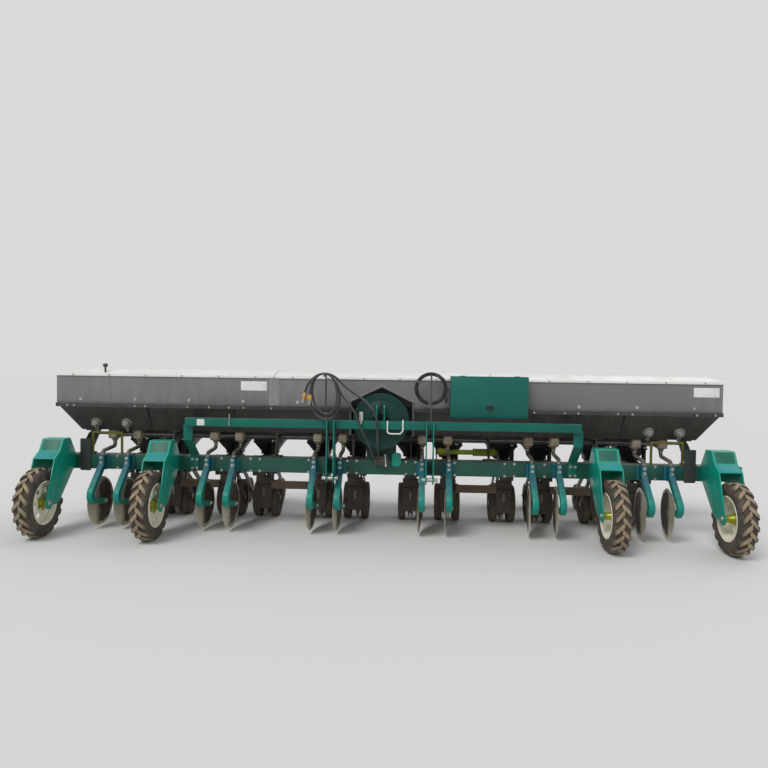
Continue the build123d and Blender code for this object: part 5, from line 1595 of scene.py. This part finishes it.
# The two loose hydraulic hoses: 22 mm rubber hoses with wire inside, which run from the valve block over the
# upper bar and hang in two wide loops on the left stand. Black rubber gone grey with dust.
hose_diameter = 0.022
# Columns: across, ahead of the toolbar's centre line, up
pressure_hose_route = (
    (-0.020, 0.161, 0.765), (-0.020, 0.225, 0.765), (-0.022, 0.300, 0.835), (-0.024, 0.355, 0.930),
    (-0.025, 0.372, 1.055), (-0.032, 0.386, 1.180), (-0.080, 0.392, 1.290), (-0.165, 0.388, 1.375),
    (-0.262, 0.378, 1.435), (-0.352, 0.368, 1.500), (-0.425, 0.362, 1.575), (-0.500, 0.358, 1.621),
    (-0.590, 0.358, 1.621), (-0.662, 0.360, 1.565), (-0.702, 0.364, 1.450), (-0.690, 0.370, 1.320),
    (-0.635, 0.378, 1.215), (-0.545, 0.388, 1.165), (-0.455, 0.400, 1.195), (-0.398, 0.410, 1.295),
    (-0.390, 0.418, 1.420), (-0.425, 0.422, 1.540), (-0.500, 0.424, 1.621), (-0.590, 0.424, 1.621),
    (-0.668, 0.425, 1.570), (-0.716, 0.426, 1.500), (-0.732, 0.427, 1.432))
return_hose_route = (
    (-0.060, 0.161, 0.765), (-0.060, 0.225, 0.765), (-0.075, 0.300, 0.822), (-0.098, 0.352, 0.900),
    (-0.135, 0.378, 0.985), (-0.180, 0.398, 1.075), (-0.218, 0.412, 1.175), (-0.258, 0.414, 1.270),
    (-0.320, 0.400, 1.345), (-0.385, 0.390, 1.425), (-0.432, 0.388, 1.520), (-0.500, 0.391, 1.621),
    (-0.590, 0.391, 1.621), (-0.650, 0.392, 1.565), (-0.672, 0.394, 1.455), (-0.650, 0.399, 1.335),
    (-0.590, 0.408, 1.250), (-0.510, 0.420, 1.222), (-0.445, 0.434, 1.265), (-0.415, 0.446, 1.365),
    (-0.420, 0.453, 1.480), (-0.450, 0.456, 1.570), (-0.500, 0.457, 1.621), (-0.590, 0.457, 1.621),
    (-0.650, 0.456, 1.572), (-0.676, 0.454, 1.492), (-0.680, 0.452, 1.418))
hose_lines = {name: [(across, bar_y - ahead, up) for across, ahead, up in route] for name, route in
              (("pressure_hose", pressure_hose_route), ("return_hose", return_hose_route))}
hose_rubber = weathered("wrapped_hose_rubber", "#3A3A3C", "#4C4C4D", settled=0.7, splash=0.1, roughness=0.45,
                        patch=0.12, grain=0.002, relief=0.0006)


# Ends of the two loose hoses: each has a crimped ferrule, an amber dust cap pushed up over it and a turned
# steel nipple below, hanging open. Turned zinc-plated steel and moulded amber plastic.
amber = weathered("moulded_amber_plastic_cap", "#D99A2B", "#C2872A", settled=0.2, splash=0.0, roughness=0.38,
                  patch=0.04)
ferrule = turned(((0.0004, 0.0112), (0.0004, 0.0150), (0.003, 0.0160), (0.012, 0.0160), (0.014, 0.0150),
                  (0.014, 0.0)), 24)
cap = turned(((0.012, 0.0), (0.012, 0.0160), (0.014, 0.0200), (0.018, 0.0218), (0.046, 0.0218),
              (0.050, 0.0200), (0.052, 0.0160), (0.052, 0.0)), 32)
nipple = turned(((0.050, 0.0), (0.050, 0.0135), (0.058, 0.0140), (0.060, 0.0168), (0.072, 0.0168),
                 (0.074, 0.0120), (0.080, 0.0118), (0.083, 0.0140), (0.088, 0.0140), (0.091, 0.0118),
                 (0.099, 0.0112), (0.1018, 0.0090), (0.1018, 0.0060), (0.088, 0.0060), (0.088, 0.0)), 32)
steel_ends = []
amber_ends = []
for line in hose_lines.values():
    before, last = Vector(line[-2]), Vector(line[-1])
    aim = (last - before).to_track_quat("X", "Z").to_matrix().to_4x4()
    steel_ends.append(moved(joined(ferrule, nipple), Matrix.Translation(last), aim))
    amber_ends.append(moved(cap, Matrix.Translation(last), aim))
steel_fittings = finished("hose_end_fittings", joined(*steel_ends), zinc, replaces=("cord_ends",))
amber_caps = finished("hose_end_caps", joined(*amber_ends), amber, replaces=("cord_ends",))


def smooth_cord(name, points, diameter, material):
    """A cord's centre line as one smooth spline that goes by its points, as thick as the cord."""
    curve = new_curve(name, "NURBS", points, dimensions="3D", bevel_depth=diameter / 2, bevel_resolution=3,
                      resolution_u=8, use_fill_caps=True)
    curve.splines[0].order_u = 3
    curve.splines[0].use_endpoint_u = True
    curve.materials.append(material)
    piece = added(name, curve)
    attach(piece, "root")
    return piece


for name, line in hose_lines.items():
    piece = smooth_cord(name + "_line", line, hose_diameter, hose_rubber)
    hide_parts(name)


# Cable coil: the monitor's cable leaves the tool box by a gland, is wound in a neat ring on the right stand's
# rod with two straps round it, and ends in its plug. 12 mm black cable, about five and a half metres of it.
cable_diameter = 0.012
coil_x, coil_y, coil_z = 0.495, bar_y - 0.215, 1.4833
coil_inner = 0.135
coil_step = 0.013
turn_points = 16
turn_step = 360 / turn_points
rear_points = 2 * turn_points + 4
front_points = 2 * turn_points + 6
coil_outer = coil_inner + coil_step * (rear_points - 1) / turn_points
tail_x, tail_y = coil_x + 0.150, coil_y - 0.0373
strap_turns = (208, 97)
first_turns = (28, 48, 70, 92.5, 115, 137.5, 160, 182.5, 205, 227.5, 250, 272.5, 295)


def on_coil(turn, radius, aside):
    """A place on the coil: degrees clockwise from its right side, radius, and how far behind its middle."""
    angle = math.radians(turn)
    return (coil_x + radius * math.cos(angle), coil_y + aside, coil_z - radius * math.sin(angle))


cable_route = [(coil_x + right, coil_y, coil_z + up)
               for right, up in ((0.1753, 0.0), (0.157, 0.0), (0.138, -0.010), (0.125, -0.033))]
cable_route += [on_coil(turn, coil_inner, 0.0) for turn in first_turns]
cable_route += [on_coil(317.5, coil_inner, 0.004), on_coil(337.5, coil_inner, coil_step - 0.002)]
cable_route += [on_coil(number * turn_step, coil_inner + coil_step * number / turn_points, coil_step)
                for number in range(rear_points)]
cable_route += [on_coil((rear_points + number) * turn_step, coil_outer, coil_step * aside)
                for number, aside in enumerate((0.8, 0.3, -0.3, -0.8))]
cable_route += [on_coil((rear_points + 4 + number) * turn_step, coil_outer - coil_step * number / turn_points,
                        -coil_step) for number in range(front_points)]
cable_route += [on_coil(turn, radius, -ahead) for turn, radius, ahead in
                ((307, 0.1345, 0.020), (322, 0.137, 0.028), (337, 0.1415, 0.034), (352, 0.147, 0.0365))]
cable_route += [(coil_x + 0.1495, tail_y, coil_z - 0.005), (tail_x, tail_y, coil_z - 0.040),
                (tail_x, tail_y, coil_z - 0.075)]
cable_black = weathered("black_rubber_cable_sheath", "#242427", "#36363A", settled=0.4, splash=0.0,
                        roughness=0.5, patch=0.08, grain=0.002)
cable = smooth_cord("coiled_cable", cable_route, cable_diameter, cable_black)
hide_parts("cable_coil")
plug_outline = ((0.0, 0.0), (0.0, 0.0064), (0.002, 0.0072), (0.016, 0.0095), (0.018, 0.0130), (0.022, 0.0148),
                (0.026, 0.0148), (0.028, 0.0135), (0.032, 0.0135), (0.034, 0.0148), (0.038, 0.0148),
                (0.040, 0.0135), (0.044, 0.0135), (0.046, 0.0148), (0.050, 0.0148), (0.052, 0.0120),
                (0.0635, 0.0120), (0.0635, 0.0100), (0.054, 0.0100), (0.054, 0.0))
plug_black = weathered("moulded_black_nylon_plug", "#1C1D1F", "#2C2C2C", settled=0.2, splash=0.0,
                       roughness=0.45, patch=0.04)
plug = finished("cable_plug", moved(turned(plug_outline, 24), at(tail_x, tail_y, coil_z - 0.0752), to_ground),
                plug_black, replaces=("cord_ends",))
gland = turned(((0.0, 0.0062), (0.0, 0.0075), (0.004, 0.0090), (0.012, 0.0105), (0.013, 0.0125),
                (0.0165, 0.0125), (0.0165, 0.0062)), 24, closed=True)
finished("cable_gland", moved(gland, at(coil_x + 0.1690, coil_y, coil_z)), plug_black)
strap_hole = oblong(-0.0215, 0.0215, -0.0205, 0.0205, 0.006)
strap_skin = oblong(-0.0235, 0.0235, -0.0225, 0.0225, 0.008)
strap_shape = cut_plate([strap_skin, strap_hole], -0.009, 0.009, "top", 0.0006)
straps = []
for turn in strap_turns:
    angle = math.radians(turn)
    outward = Vector((math.cos(angle), 0, -math.sin(angle)))
    along = Vector((-math.sin(angle), 0, -math.cos(angle)))
    place = Matrix((outward, Vector((0, 1, 0)), along)).transposed().to_4x4()
    place.translation = Vector((coil_x, coil_y, coil_z)) + outward * (coil_inner + coil_step * 0.95)
    straps.append(moved(strap_shape, place))
strap_grey = weathered("woven_grey_strap", "#6E7072", "#5C5C5C", settled=0.3, splash=0.0, roughness=0.8,
                       patch=0.03)
cable_straps = finished("coil_straps", joined(*straps), strap_grey)


# The studio: a plain pale floor, soft light from above and in front, and the camera of the
# photograph. None of it belongs to the planter.
floor_half = 60.0
floor_mesh = bpy.data.meshes.new("floor")
floor_mesh.from_pydata([(-floor_half, -floor_half, 0), (floor_half, -floor_half, 0),
                        (floor_half, floor_half, 0), (-floor_half, floor_half, 0)], [], [(0, 1, 2, 3)])
floor_paint, floor_tree, _ = new_material("pale_studio_floor")
end_surface(floor_tree, {"Base Color": linear("#D9D8D5"), "Roughness": 0.9})
floor_mesh.materials.append(floor_paint)
added("floor", floor_mesh)

world = bpy.data.worlds.new("studio")
bpy.context.scene.world = world
world.use_nodes = True
sky = world.node_tree
sky.nodes.clear()
rays = add(sky, "ShaderNodeLightPath")
direct = maths(sky, "MAXIMUM", rays.outputs["Is Camera Ray"], rays.outputs["Is Glossy Ray"])
backdrop = add(sky, "ShaderNodeBackground", {0: linear("#D9DADA"), 1: 1.0})
ambient = add(sky, "ShaderNodeBackground", {0: linear("#F2F5FA"), 1: 0.55})
blend = add(sky, "ShaderNodeMixShader", {0: direct, 1: ambient.outputs[0], 2: backdrop.outputs[0]})
add(sky, "ShaderNodeOutputWorld", {0: blend.outputs[0]})

# Two wide soft lights. Columns: name, direction, angle, strength
for name, towards, angle, strength in (("key", (0.45, 0.75, -1.0), 25.0, 1.5),
                                       ("fill", (-0.6, -0.5, -0.8), 60.0, 0.5)):
    lamp = bpy.data.lights.new(name, "SUN")
    lamp.angle = math.radians(angle)
    lamp.energy = strength
    added(name, lamp).rotation_euler = Vector(towards).to_track_quat("-Z", "Y").to_euler()

# The camera that was fitted to the photograph: focal length in pixels, place, and angles in radians
focal_pixels = 677.6
photo_width = 768
camera_place = (0.354, -7.194, 1.752)
heading, dip, roll = -0.0488, 0.0340, 0.0131
lens = bpy.data.cameras.new("camera")
lens.sensor_width = 36.0
lens.lens = lens.sensor_width * focal_pixels / photo_width
lens.clip_end = 200.0
camera = added("camera", lens)
ahead = Vector((math.sin(heading) * math.cos(dip), math.cos(heading) * math.cos(dip), -math.sin(dip)))
level = Vector((math.cos(heading), -math.sin(heading), 0.0))
upright = level.cross(ahead)
across = level * math.cos(roll) + upright * math.sin(roll)
upward = upright * math.cos(roll) - level * math.sin(roll)
camera.matrix_world = at(*camera_place) @ Matrix((across, upward, -ahead)).transposed().to_4x4()
bpy.context.scene.camera = camera
bpy.context.scene.view_settings.view_transform = "Standard"
